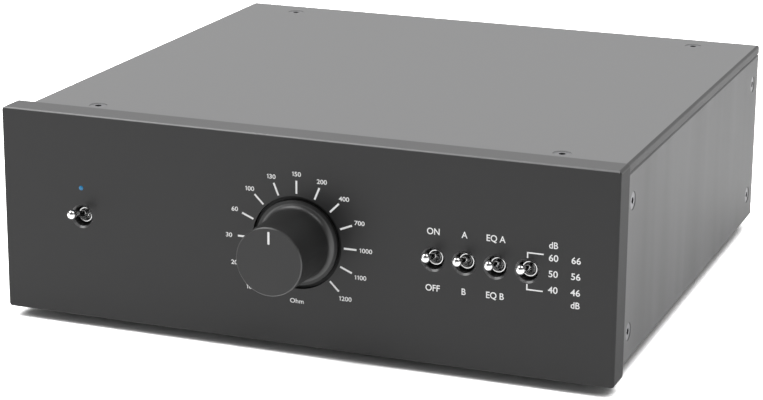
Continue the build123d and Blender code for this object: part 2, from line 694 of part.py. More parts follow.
def loading_knob():
    """Tapered turned knob on a thin flange, with a pointer groove in its face."""
    back = KNOB_RUNNING_GAP - RECESS_DEPTH
    fillet_top = KNOB_FLANGE_LIP + KNOB_FILLET
    bend = KNOB_FILLET * (1 - cos(radians(45)))
    bore = SHAFT_RADIUS + SHAFT_FIT
    bore_top = back + KNOB_BORE_DEPTH
    face_rim = KNOB_FACE_RADIUS - KNOB_FACE_CHAMFER
    foot_of_fillet = (KNOB_ROOT_RADIUS + KNOB_FILLET, 0, KNOB_FLANGE_LIP)
    outline = (
        Polyline(
            foot_of_fillet,
            (KNOB_FLANGE_RADIUS, 0, KNOB_FLANGE_LIP),
            (KNOB_FLANGE_RADIUS, 0, back),
            (bore, 0, back),
            (bore, 0, bore_top),
            (0, 0, bore_top),
            (0, 0, KNOB_REACH),
            (face_rim, 0, KNOB_REACH),
            (KNOB_FACE_RADIUS, 0, KNOB_REACH - KNOB_FACE_CHAMFER),
            (KNOB_ROOT_RADIUS, 0, fillet_top),
        )
        + ThreePointArc(
            (KNOB_ROOT_RADIUS, 0, fillet_top),
            (KNOB_ROOT_RADIUS + bend, 0, KNOB_FLANGE_LIP + bend),
            foot_of_fillet,
        )
    )
    body = revolve(make_face(outline), Axis.Z)
    pointer_middle = face_rim - POINTER_EDGE_INSET + KNOB_FACE_CHAMFER - POINTER_LENGTH / 2
    groove = Pos(0, pointer_middle, KNOB_REACH) * Box(POINTER_WIDTH, POINTER_LENGTH, 2 * POINTER_DEPTH)
    grub_hole_length = KNOB_ROOT_RADIUS + CUT_OVERSHOOT
    grub_hole = Pos(0, 0, grub_hole_length / 2) * Cylinder(GRUB_RADIUS + THREAD_CLEARANCE, grub_hole_length)
    return dial_frame() * (body - groove - grub_angle_place() * grub_hole)


def knob_grub_screw():
    start = SHAFT_RADIUS
    screw = Pos(0, 0, start + GRUB_LENGTH / 2) * Cylinder(GRUB_RADIUS, GRUB_LENGTH)
    end = start + GRUB_LENGTH
    screw -= hexagon(GRUB_SOCKET_FLATS, end - HEX_SOCKET_DEPTH, end + CUT_OVERSHOOT)
    return dial_frame() * grub_angle_place() * screw


def potentiometer_shaft():
    back = FRONT_Y + PANEL_THICKNESS + SUB_PANEL_THICKNESS + SHAFT_IN_BODY
    return rod_y(SHAFT_RADIUS, FRONT_Y - SHAFT_IN_KNOB + RECESS_DEPTH, back, 0, CONTROL_Z)


def pin_slots(x_positions, z_positions, y_range, extra):
    """Flat pins, or with extra the slots that they pass through."""
    half_x = PIN_THICKNESS / 2 + extra
    half_z = PIN_WIDTH / 2 + extra
    return [
        block((x - half_x, x + half_x), y_range, (z - half_z, z + half_z))
        for x in x_positions
        for z in z_positions
    ]


def pot_pin_positions():
    xs = (-POT_PIN_SPACING, 0, POT_PIN_SPACING)
    return xs, (CONTROL_Z - POT_BODY_RADIUS / 2,)


def switch_pin_positions(x):
    return (x,), (CONTROL_Z - SWITCH_PIN_PITCH, CONTROL_Z, CONTROL_Z + SWITCH_PIN_PITCH)


def pin_end_y():
    return CONTROL_BOARD_Y + BOARD_THICKNESS + PIN_PROUD


def potentiometer_body():
    drum = rod_y(POT_BODY_RADIUS, SUB_BACK_Y, POT_BACK_Y, 0, CONTROL_Z)
    bushing = rod_y(POT_BUSHING_RADIUS, SUB_BACK_Y - POT_BUSHING_REACH, SUB_BACK_Y, 0, CONTROL_Z)
    bore_end = SUB_BACK_Y + SHAFT_IN_BODY + KNOB_RUNNING_GAP
    front = SUB_BACK_Y - POT_BUSHING_REACH - CUT_OVERSHOOT
    bore = rod_y(SHAFT_RADIUS + SHAFT_RUNNING_FIT, front, bore_end, 0, CONTROL_Z)
    pins = pin_slots(*pot_pin_positions(), (POT_BACK_Y, pin_end_y()), 0)
    return drum + bushing + pins - bore


def hex_nut(flats, thickness, hole_radius):
    return hexagon(flats, 0, thickness) - Pos(0, 0, thickness / 2) * Cylinder(hole_radius, 2 * thickness)


def potentiometer_nut():
    nut = hex_nut(POT_NUT_FLATS, POT_NUT_THICKNESS, POT_BUSHING_RADIUS + THREAD_CLEARANCE)
    return facing((0, PANEL_BACK_Y, CONTROL_Z), FORWARD) * nut


# ------------------------------------------------------------ toggle switches
def switch_body(x):
    """Threaded bushing, metal frame, moulded housing and three flat terminals."""
    top = SUB_BACK_Y - FRONT_Y - BUSHING_SINK
    bushing = turned(
        [
            (0, 0),
            (BUSHING_RADIUS, 0),
            (BUSHING_RADIUS, top - BUSHING_RIM),
            (BUSHING_RADIUS - BUSHING_RIM, top),
            (0, top),
        ]
    )
    pivot = top + BUSHING_SINK - LEVER_BALL_SINK
    lip_base = top - BUSHING_LIP - BUSHING_MOUTH_DEPTH
    mouth = BUSHING_MOUTH_RADIUS + BUSHING_MOUTH_FLARE
    bore = turned(
        [
            (0, top - BUSHING_BORE_DEPTH),
            (BUSHING_BORE_RADIUS, top - BUSHING_BORE_DEPTH),
            (BUSHING_BORE_RADIUS, lip_base),
            (BUSHING_MOUTH_RADIUS, lip_base + BUSHING_LIP),
            (mouth, top),
            (mouth, top + CUT_OVERSHOOT),
            (0, top + CUT_OVERSHOOT),
        ]
    )
    bore_length = 2 * (BUSHING_RADIUS + CUT_OVERSHOOT)
    cross_bore = Rot(Y=90) * Cylinder(LEVER_PIN_RADIUS + LEVER_PIN_FIT, bore_length)
    bushing = facing((x, SUB_BACK_Y, CONTROL_Z), FORWARD) * bushing
    half_width, half_height = SWITCH_FRAME_WIDTH / 2, SWITCH_FRAME_HEIGHT / 2
    frame = block(
        (x - half_width, x + half_width),
        (SUB_BACK_Y, SUB_BACK_Y + SWITCH_FRAME_THICKNESS),
        (CONTROL_Z - half_height, CONTROL_Z + half_height),
    )
    inset = SWITCH_HOUSING_INSET
    housing = block(
        (x - half_width + inset, x + half_width - inset),
        (SUB_BACK_Y + SWITCH_FRAME_THICKNESS, SWITCH_BACK_Y),
        (CONTROL_Z - half_height + inset, CONTROL_Z + half_height - inset),
    )
    pins = pin_slots(*switch_pin_positions(x), (SWITCH_BACK_Y, pin_end_y()), 0)
    hollow = facing((x, SUB_BACK_Y, CONTROL_Z), FORWARD) * bore
    cross = facing((x, SUB_BACK_Y - pivot, CONTROL_Z), FORWARD) * cross_bore
    return bushing + frame + housing + pins - hollow - cross


def switch_lever(x):
    """Ball-tipped lever on a cross pin, thrown up in the stored position."""
    neck_start = (LEVER_PIVOT_RADIUS**2 - LEVER_NECK_RADIUS**2) ** 0.5
    stem_end = LEVER_LENGTH - (LEVER_TIP_RADIUS**2 - LEVER_STEM_RADIUS**2) ** 0.5
    stem = turned(
        [
            (0, -LEVER_TAIL_LENGTH),
            (LEVER_TAIL_RADIUS, -LEVER_TAIL_LENGTH),
            (LEVER_TAIL_RADIUS, 0),
            (LEVER_NECK_RADIUS, neck_start),
            (LEVER_STEM_RADIUS, stem_end),
            (0, stem_end),
        ]
    )
    lever = stem + Sphere(LEVER_PIVOT_RADIUS) + Pos(0, 0, LEVER_LENGTH) * Sphere(LEVER_TIP_RADIUS)
    lever += Rot(Y=90) * Cylinder(LEVER_PIN_RADIUS, LEVER_PIN_LENGTH)
    pivot = Plane(origin=(x, FRONT_Y + LEVER_BALL_SINK, CONTROL_Z), x_dir=(1, 0, 0), z_dir=FORWARD)
    return pivot.location * Rot(X=-LEVER_TILT) * lever


def switch_nuts():
    nut = hex_nut(SWITCH_NUT_FLATS, SWITCH_NUT_THICKNESS, BUSHING_RADIUS + THREAD_CLEARANCE)
    turned_nut = Rot(Z=SWITCH_NUT_TURN) * nut
    places = [facing((x, PANEL_BACK_Y, CONTROL_Z), FORWARD) for x in SWITCHES.values()]
    return solids_of(placed(places, turned_nut))


# -------------------------------------------------------------- power indicator
def power_led():
    """Light with a thin domed nose, a round body and two legs to the board."""
    legs_y = (FRONT_Y + LED_NOSE_LENGTH + LED_BODY_LENGTH, pin_end_y())
    nose = rod_y(LED_RADIUS, FRONT_Y, FRONT_Y + LED_NOSE_LENGTH, LED_X, LED_Z)
    dome = turned([(0, LED_DOME), (LED_SHOULDER_RADIUS, LED_SHOULDER_HEIGHT), (LED_RADIUS, 0), (0, 0)])
    nose += facing((LED_X, FRONT_Y, LED_Z), FORWARD) * dome
    body = rod_y(LED_BODY_RADIUS, FRONT_Y + LED_NOSE_LENGTH, legs_y[0], LED_X, LED_Z)
    return nose + body + led_legs(legs_y, 0)


def led_legs(y_range, extra):
    half = LED_LEG_SIZE / 2 + extra
    offsets = (-LED_LEG_SPACING / 2, LED_LEG_SPACING / 2)
    return [
        block((LED_X + dx - half, LED_X + dx + half), y_range, (LED_Z - half, LED_Z + half))
        for dx in offsets
    ]


# ------------------------------------------------------------- circuit boards
def control_board():
    """Upright board soldered to the switches, the potentiometer and the light."""
    half_width, half_height = CONTROL_BOARD_WIDTH / 2, CONTROL_BOARD_HEIGHT / 2
    board = block(
        (-half_width, half_width),
        (CONTROL_BOARD_Y, CONTROL_BOARD_Y + BOARD_THICKNESS),
        (CONTROL_Z - half_height, CONTROL_Z + half_height),
    )
    through = (CONTROL_BOARD_Y - CUT_OVERSHOOT, CONTROL_BOARD_Y + BOARD_THICKNESS + CUT_OVERSHOOT)
    slots = pin_slots(*pot_pin_positions(), through, PIN_SLOT_CLEARANCE)
    for x in SWITCHES.values():
        slots += pin_slots(*switch_pin_positions(x), through, PIN_SLOT_CLEARANCE)
    slots += led_legs(through, PIN_SLOT_CLEARANCE)
    return board - slots


def main_board_span():
    front = SUB_BACK_Y + RAIL_DEPTH + MAIN_BOARD_FRONT_GAP
    rear = REAR_INNER_Y - MAIN_BOARD_REAR_GAP
    return front, rear


def main_board():
    half = MAIN_BOARD_WIDTH / 2
    board = block((-half, half), main_board_span(), (MAIN_BOARD_Z, MAIN_BOARD_TOP_Z))
    board = fillet(board.edges().filter_by(Axis.Z), MAIN_BOARD_CORNER)
    through = (MAIN_BOARD_Z - CUT_OVERSHOOT, MAIN_BOARD_TOP_Z + CUT_OVERSHOOT)
    return board - [rod_z(SCREW_RADIUS + PASS_CLEARANCE, *through, *place) for place in standoff_places()]


def board_standoffs():
    """Hexagonal posts, each with a threaded spigot in the base plate."""
    post = hexagon(STANDOFF_FLATS, 0, STANDOFF_HEIGHT)
    post += Pos(0, 0, -BASE_THICKNESS / 2) * Cylinder(SCREW_RADIUS, BASE_THICKNESS)
    bore_middle = STANDOFF_HEIGHT + (CUT_OVERSHOOT - STANDOFF_BORE_DEPTH) / 2
    bore = Cylinder(SCREW_RADIUS + THREAD_CLEARANCE, STANDOFF_BORE_DEPTH + CUT_OVERSHOOT)
    post -= Pos(0, 0, bore_middle) * bore
    return solids_of([Pos(x, y, BASE_TOP_Z) * post for x, y in standoff_places()])


def filter_capacitors():
    """Upright electrolytic cans with a crimp groove near the board."""
    groove_radius = CAPACITOR_RADIUS - CAPACITOR_GROOVE
    groove_middle = CAPACITOR_GROOVE_HEIGHT
    can = turned(
        [
            (0, 0),
            (CAPACITOR_RADIUS, 0),
            (CAPACITOR_RADIUS, groove_middle - CAPACITOR_GROOVE),
            (groove_radius, groove_middle),
            (CAPACITOR_RADIUS, groove_middle + CAPACITOR_GROOVE),
            (CAPACITOR_RADIUS, CAPACITOR_HEIGHT - CAPACITOR_EDGE),
            (CAPACITOR_RADIUS - CAPACITOR_EDGE, CAPACITOR_HEIGHT),
            (0, CAPACITOR_HEIGHT),
        ]
    )
    first = CAPACITOR_SIDE_INSET - MAIN_BOARD_WIDTH / 2
    front = FRONT_Y + CAPACITOR_FRONT
    places = [
        Pos(first + column * CAPACITOR_PITCH, front + row * CAPACITOR_PITCH, MAIN_BOARD_TOP_Z)
        for column in range(CAPACITOR_COLUMNS)
        for row in range(CAPACITOR_ROWS)
    ]
    return solids_of(placed(places, can))


def relays():
    """Sealed switching relays in a row."""
    width, length, height = RELAY_SIZE
    case = Pos(0, 0, height / 2) * Box(width, length, height)
    case = chamfer(case.faces().sort_by(Axis.Z)[-1].edges(), RELAY_EDGE)
    places = [
        Pos(RELAY_X, FRONT_Y + RELAY_FRONT + index * RELAY_PITCH, MAIN_BOARD_TOP_Z)
        for index in range(RELAY_COUNT)
    ]
    return solids_of(placed(places, case))


def amplifier_chip():
    """Dual in-line amplifier: body on two rows of four legs."""
    width, length, height = CHIP_SIZE
    chip = Pos(0, 0, CHIP_LIFT + height / 2) * Box(width, length, height)
    leg_top = CHIP_LIFT + height / 2
    for side in (-1, 1):
        for index in range(CHIP_LEGS_PER_SIDE):
            y = (index - (CHIP_LEGS_PER_SIDE - 1) / 2) * CHIP_LEG_PITCH
            x = side * (width + CHIP_LEG) / 2
            chip += Pos(x, y, leg_top / 2) * Box(CHIP_LEG, CHIP_LEG, leg_top)
    return chip


def amplifier_chips():
    last = MAIN_BOARD_WIDTH / 2 - CHIP_SIDE_INSET
    front = FRONT_Y + CHIP_FRONT
    places = [
        Pos(last - column * CHIP_PITCH_X, front + row * CHIP_PITCH_Y, MAIN_BOARD_TOP_Z)
        for column in range(CHIP_COLUMNS)
        for row in range(CHIP_ROWS)
    ]
    return solids_of(placed(places, amplifier_chip()))


# --------------------------------------------------------------- rear sockets
def socket_nut(hole_radius, flats, thickness):
    """Nut on the rear panel's inner face, in a socket's own frame."""
    nut = hex_nut(flats, thickness, hole_radius)
    return Pos(0, 0, -REAR_THICKNESS - thickness) * nut


def phono_socket(x, rise):
    """Sleeve, insulator, centre contact and fixing nut of one phono socket."""
    flange_top = PHONO_FLANGE_THICKNESS
    sleeve = turned(
        [
            (PHONO_SLEEVE_BORE, -PHONO_BARREL_DEPTH),
            (PHONO_BARREL_RADIUS, -PHONO_BARREL_DEPTH),
            (PHONO_BARREL_RADIUS, 0),
            (PHONO_FLANGE_RADIUS, 0),
            (PHONO_FLANGE_RADIUS, flange_top),
            (PHONO_SLEEVE_RADIUS, flange_top),
            (PHONO_SLEEVE_RADIUS, PHONO_SLEEVE_REACH - PHONO_SLEEVE_CHAMFER),
            (PHONO_SLEEVE_RADIUS - PHONO_SLEEVE_CHAMFER, PHONO_SLEEVE_REACH),
            (PHONO_SLEEVE_BORE, PHONO_SLEEVE_REACH),
        ]
    )
    insulator_top = PHONO_SLEEVE_REACH - PHONO_INSULATOR_SINK
    insulator = turned(
        [
            (PHONO_CONTACT_RADIUS + NEST_FIT, -PHONO_BARREL_DEPTH),
            (PHONO_SLEEVE_BORE - NEST_FIT, -PHONO_BARREL_DEPTH),
            (PHONO_SLEEVE_BORE - NEST_FIT, insulator_top),
            (PHONO_CONTACT_RADIUS + NEST_FIT, insulator_top),
        ]
    )
    contact_top = PHONO_SLEEVE_REACH - PHONO_CONTACT_SINK
    tail_end = -PHONO_BARREL_DEPTH - PHONO_TAIL_LENGTH
    contact = turned(
        [
            (0, tail_end),
            (PHONO_TAIL_RADIUS, tail_end),
            (PHONO_TAIL_RADIUS, -PHONO_BARREL_DEPTH),
            (PHONO_CONTACT_RADIUS, -PHONO_BARREL_DEPTH),
            (PHONO_CONTACT_RADIUS, contact_top),
            (PHONO_PIN_BORE_RADIUS, contact_top),
            (PHONO_PIN_BORE_RADIUS, contact_top - PHONO_PIN_BORE_DEPTH),
            (0, contact_top - PHONO_PIN_BORE_DEPTH),
        ]
    )
    nut = socket_nut(PHONO_BARREL_RADIUS + THREAD_CLEARANCE, SOCKET_NUT_FLATS, SOCKET_NUT_THICKNESS)
    place = outward_from_rear(x, SOCKET_Z + rise)
    return solids_of(placed([place], solids_of([sleeve, insulator, contact, nut])))


def contact_points():
    return [
        (CONTACT_CIRCLE_RADIUS * cos(radians(angle)), CONTACT_CIRCLE_RADIUS * sin(radians(angle)))
        for angle in CONTACT_ANGLES
    ]


def socket_flange(depth):
    """Rectangular flange on a round barrel, with its two screw holes."""
    plate = Pos(0, 0, FLANGE_THICKNESS / 2) * Box(FLANGE_WIDTH, FLANGE_HEIGHT, FLANGE_THICKNESS)
    plate = fillet(plate.edges().filter_by(Axis.Z), FLANGE_CORNER_RADIUS)
    barrel = Pos(0, 0, -depth / 2) * Cylinder(BALANCED_BARREL_RADIUS, depth)
    hole = countersunk_hole()
    corners = ((-FLANGE_SCREW_X, FLANGE_SCREW_Z), (FLANGE_SCREW_X, -FLANGE_SCREW_Z))
    return plate + barrel - [Pos(u, v, FLANGE_THICKNESS) * hole for u, v in corners]


def tab_channel():
    """Slot above the contacts in which the release tab slides."""
    half = TAB_WIDTH / 2 + TAB_CLEARANCE
    low = TAB_HEIGHT - TAB_THICKNESS / 2 - TAB_CLEARANCE
    high = TAB_HEIGHT + TAB_THICKNESS / 2 + TAB_CLEARANCE
    deep = -(TAB_STEM_DEPTH + TAB_TRAVEL + TAB_CLEARANCE)
    return block((-half, half), (low, high), (deep, FLANGE_THICKNESS + CUT_OVERSHOOT))


def balanced_input(x):
    """Female socket: a tubular shell and an insert with three contact holes."""
    top = FLANGE_THICKNESS
    insert_seat = top - FEMALE_GROOVE_DEPTH
    bore_middle = (top + CUT_OVERSHOOT + insert_seat) / 2
    bore = Cylinder(FEMALE_GROOVE_OUTER, top + CUT_OVERSHOOT - insert_seat)
    shell = socket_flange(FEMALE_DEPTH) - Pos(0, 0, bore_middle) * bore - tab_channel()
    insert = Pos(0, 0, (top + insert_seat) / 2) * Cylinder(FEMALE_INSERT_RADIUS, top - insert_seat)
    hole_middle = top + (CUT_OVERSHOOT - FEMALE_CONTACT_DEPTH) / 2
    hole = Cylinder(FEMALE_CONTACT_RADIUS, FEMALE_CONTACT_DEPTH + CUT_OVERSHOOT)
    insert -= [Pos(u, v, hole_middle) * hole for u, v in contact_points()]
    return outward_from_rear(x, SOCKET_Z) * solids_of([shell, insert])


def release_tab(x):
    """Sprung tab that frees the plug when it is pushed in."""
    half = TAB_WIDTH / 2
    y_range = (TAB_HEIGHT - TAB_THICKNESS / 2, TAB_HEIGHT + TAB_THICKNESS / 2)
    tab = block((-half, half), y_range, (-TAB_STEM_DEPTH, FLANGE_THICKNESS + TAB_PROUD))
    outer_edges = tab.faces().sort_by(Axis.Z)[-1].edges().filter_by(Axis.X)
    tab = fillet(outer_edges, TAB_EDGE_RADIUS)
    return outward_from_rear(x, SOCKET_Z) * tab


def balanced_output(x):
    """Male socket: a shell with an open cavity and three shouldered pins."""
    cavity_top = FLANGE_THICKNESS + CUT_OVERSHOOT
    floor = FLANGE_THICKNESS - MALE_CAVITY_DEPTH
    cavity = Pos(0, 0, (cavity_top + floor) / 2) * Cylinder(MALE_CAVITY_RADIUS, cavity_top - floor)
    pin_top = FLANGE_THICKNESS - MALE_PIN_SINK
    pin_end = -(MALE_DEPTH + MALE_PIN_TAIL)
    pin = turned(
        [
            (0, pin_end),
            (MALE_PIN_TAIL_RADIUS, pin_end),
            (MALE_PIN_TAIL_RADIUS, floor),
            (MALE_PIN_RADIUS, floor),
            (MALE_PIN_RADIUS, pin_top - MALE_PIN_CHAMFER),
            (MALE_PIN_RADIUS - MALE_PIN_CHAMFER, pin_top),
            (0, pin_top),
        ]
    )
    seat_length = MALE_DEPTH + floor + CUT_OVERSHOOT
    seat = Pos(0, 0, -MALE_DEPTH) * Cylinder(MALE_PIN_TAIL_RADIUS + NEST_FIT, 2 * seat_length)
    shell = socket_flange(MALE_DEPTH) - cavity - [Pos(u, v, 0) * seat for u, v in contact_points()]
    pins = [Pos(u, v, 0) * pin for u, v in contact_points()]
    return outward_from_rear(x, SOCKET_Z) * solids_of([shell] + pins)


def socket_screws():
    """Countersunk screws of the balanced sockets' flanges."""
    balanced = list(BALANCED_INPUTS.values()) + list(BALANCED_OUTPUTS.values())
    places = [place for x in balanced for place in flange_screw_places(x)]
    return solids_of(placed(places, countersunk_screw(SOCKET_SCREW_LENGTH)))


# ----------------------------------------------------------- ground and supply
def ground_post():
    """Threaded post with a seat on the rear panel and a nut inside."""
    post = turned(
        [
            (0, -REAR_THICKNESS - POST_TAIL),
            (POST_RADIUS, -REAR_THICKNESS - POST_TAIL),
            (POST_RADIUS, 0),
            (POST_FLANGE_RADIUS, 0),
            (POST_FLANGE_RADIUS, POST_FLANGE_THICKNESS),
            (POST_RADIUS, POST_FLANGE_THICKNESS),
            (POST_RADIUS, POST_REACH),
            (0, POST_REACH),
        ]
    )
    nut = socket_nut(POST_RADIUS + THREAD_CLEARANCE, POST_NUT_FLATS, POST_NUT_THICKNESS)
    return outward_from_rear(POST_X, POST_Z) * solids_of([post, nut])


def ground_washer():
    ring = Cylinder(WASHER_RADIUS, WASHER_THICKNESS)
    ring -= Cylinder(POST_RADIUS + POST_RUNNING_FIT, WASHER_THICKNESS)
    middle = POST_FLANGE_THICKNESS + WASHER_THICKNESS / 2
    return outward_from_rear(POST_X, POST_Z) * Pos(0, 0, middle) * ring


def ground_nut():
    """Fluted thumb nut."""
    nut = Cylinder(THUMB_NUT_RADIUS, THUMB_NUT_LENGTH)
    nut = chamfer(nut.edges(), THUMB_NUT_CHAMFER)
    step = 360 / THUMB_NUT_FLUTES
    flute = Pos(THUMB_NUT_RADIUS, 0, 0) * Cylinder(THUMB_NUT_FLUTE_RADIUS, 2 * THUMB_NUT_LENGTH)
    nut -= [Rot(Z=index * step) * flute for index in range(THUMB_NUT_FLUTES)]
    nut -= Cylinder(POST_RADIUS + POST_RUNNING_FIT, 2 * THUMB_NUT_LENGTH)
    middle = POST_FLANGE_THICKNESS + WASHER_THICKNESS + THUMB_NUT_LENGTH / 2
    return outward_from_rear(POST_X, POST_Z) * Pos(0, 0, middle) * nut


def dc_socket():
    """Barrel socket with a metal centre pin and a nut behind the panel."""
    cavity_floor = DC_FLANGE_THICKNESS - DC_CAVITY_DEPTH
    pin_seat = DC_PIN_RADIUS + NEST_FIT
    barrel = turned(
        [
            (pin_seat, -DC_BARREL_DEPTH),
            (DC_BARREL_RADIUS, -DC_BARREL_DEPTH),
            (DC_BARREL_RADIUS, 0),
            (DC_FLANGE_RADIUS, 0),
            (DC_FLANGE_RADIUS, DC_FLANGE_THICKNESS),
            (DC_CAVITY_RADIUS, DC_FLANGE_THICKNESS),
            (DC_CAVITY_RADIUS, cavity_floor),
            (pin_seat, cavity_floor),
        ]
    )
    pin_top = DC_FLANGE_THICKNESS - DC_PIN_SINK
    pin_end = -(DC_BARREL_DEPTH + DC_PIN_TAIL)
    pin = Pos(0, 0, (pin_top + pin_end) / 2) * Cylinder(DC_PIN_RADIUS, pin_top - pin_end)
    nut = socket_nut(DC_BARREL_RADIUS + THREAD_CLEARANCE, SOCKET_NUT_FLATS, SOCKET_NUT_THICKNESS)
    return outward_from_rear(DC_X, DC_Z) * solids_of([barrel, pin, nut])


# ------------------------------------------------------------------- assembly
def case_nodes():
    return {
        "front_panel": front_panel(),
        "sub_panel": sub_panel(),
        **frame_rails(),
        "top_cover": top_cover(),
        "left_side_panel": side_panel(-1),
        "right_side_panel": side_panel(1),
        "base_plate": base_plate(),
        "rear_panel": rear_panel(),
        **{name: foot(x, y) for name, (x, y) in foot_places().items()},
    }


def fastener_nodes():
    screw = countersunk_screw(CSK_SCREW_LENGTH)
    sides = side_screw_places(-1) + side_screw_places(1)
    board_places = [facing((x, y, MAIN_BOARD_TOP_Z), UP) for x, y in standoff_places()]
    foot_places_up = [facing((x, y, FOOT_HEAD_RECESS), DOWN) for x, y in foot_places().values()]
    return {
        "cover_screws": solids_of(placed(cover_screw_places(), screw)),
        "side_screws": solids_of(placed(sides, screw)),
        "base_screws": solids_of(placed(base_screw_places(), screw)),
        "rear_screws": solids_of(placed(rear_screw_places(), screw)),
        "panel_screws": solids_of(placed(panel_screw_places(), cap_screw(PANEL_SCREW_LENGTH))),
        "board_screws": solids_of(placed(board_places, cap_screw(BOARD_SCREW_LENGTH))),
        "foot_screws": solids_of(placed(foot_places_up, cap_screw(FOOT_SCREW_LENGTH))),
        "socket_screws": socket_screws(),
    }


def control_nodes():
    nodes = {
        "loading_knob": loading_knob(),
        "knob_grub_screw": knob_grub_screw(),
        "potentiometer_shaft": potentiometer_shaft(),
        "potentiometer_body": potentiometer_body(),
        "potentiometer_nut": potentiometer_nut(),
        "switch_nuts": switch_nuts(),
        "power_led": power_led(),
        "control_board": control_board(),
    }
    for name, x in SWITCHES.items():
        nodes[f"{name}_body"] = switch_body(x)
        nodes[f"{name}_lever"] = switch_lever(x)
    return nodes


def circuit_nodes():
    return {
        "main_board": main_board(),
        "board_standoffs": board_standoffs(),
        "filter_capacitors": filter_capacitors(),
        "relays": relays(),
        "amplifier_chips": amplifier_chips(),
    }


def socket_nodes():
    nodes = {name: phono_socket(*place) for name, place in PHONO_SOCKETS.items()}
    for name, x in BALANCED_INPUTS.items():
        nodes[name] = balanced_input(x)
        nodes[f"{name}_tab"] = release_tab(x)
    for name, x in BALANCED_OUTPUTS.items():
        nodes[name] = balanced_output(x)
    nodes["ground_post"] = ground_post()
    nodes["ground_washer"] = ground_washer()
    nodes["ground_nut"] = ground_nut()
    nodes["dc_socket"] = dc_socket()
    return nodes


def main():
    os.makedirs("parts", exist_ok=True)
    nodes = {**case_nodes(), **fastener_nodes(), **control_nodes(), **circuit_nodes(), **socket_nodes()}
    for name, shape in nodes.items():
        export_step(shape, f"parts/{name}.step")
    print(len(nodes), "sub-parts written")


main()
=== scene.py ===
"""Looks of the phono preamp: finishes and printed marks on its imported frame, and the studio.

Lengths are in metres. +X is to the right of someone facing the front, +Y towards the rear.
"""
import json
from math import cos, pi, radians, sin

import bmesh
import bpy
from mathutils import Matrix, Vector


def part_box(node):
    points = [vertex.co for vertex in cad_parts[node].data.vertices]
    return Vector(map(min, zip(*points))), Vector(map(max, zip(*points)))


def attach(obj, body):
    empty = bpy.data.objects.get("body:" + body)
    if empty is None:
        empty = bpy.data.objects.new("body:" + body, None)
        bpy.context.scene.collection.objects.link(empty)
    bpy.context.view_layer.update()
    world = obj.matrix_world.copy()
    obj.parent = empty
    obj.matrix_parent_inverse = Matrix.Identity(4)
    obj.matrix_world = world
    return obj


MM = 0.001

# ------------------------------------------------------------------ the frame
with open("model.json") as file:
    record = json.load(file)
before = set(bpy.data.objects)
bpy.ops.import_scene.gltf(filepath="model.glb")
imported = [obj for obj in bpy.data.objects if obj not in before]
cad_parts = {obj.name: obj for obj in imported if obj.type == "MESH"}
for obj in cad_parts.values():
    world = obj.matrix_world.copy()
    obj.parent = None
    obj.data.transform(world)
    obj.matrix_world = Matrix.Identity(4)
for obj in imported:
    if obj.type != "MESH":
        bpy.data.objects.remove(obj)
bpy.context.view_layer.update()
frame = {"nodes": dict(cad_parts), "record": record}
nodes = frame["nodes"]

PANEL_LOW, PANEL_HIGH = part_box("front_panel")
FRONT_Y = PANEL_LOW.y
CONTROL_Z = (PANEL_LOW.z + PANEL_HIGH.z) / 2
KNOB_FACE_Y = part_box("loading_knob")[0].y
SWITCHES = ("power_switch", "mute_switch", "input_switch", "curve_switch", "gain_switch")


def switch_x(name):
    low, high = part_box(f"{name}_body")
    return (low.x + high.x) / 2


def off_axis(point, x, z):
    """Distance of a point from a line that runs from front to back."""
    return Vector((point.x - x, point.z - z)).length


def new_object(name, data):
    obj = bpy.data.objects.new(name, data)
    bpy.context.scene.collection.objects.link(obj)
    return obj


def mesh_object(name, shape):
    """A new object from a bmesh, which is freed."""
    mesh = bpy.data.meshes.new(name)
    shape.to_mesh(mesh)
    shape.free()
    return new_object(name, mesh)


# ------------------------------------------------------------------ node trees
NOISE_LOW, NOISE_HIGH = 0.3, 0.7  # most of a noise texture's values lie between these


def grey(tone):
    return (tone, tone, tone)


def around(colour, spread):
    """Two colours, one darker and one lighter than the given one."""
    return [c * (1 - spread) for c in colour], [c * (1 + spread) for c in colour]


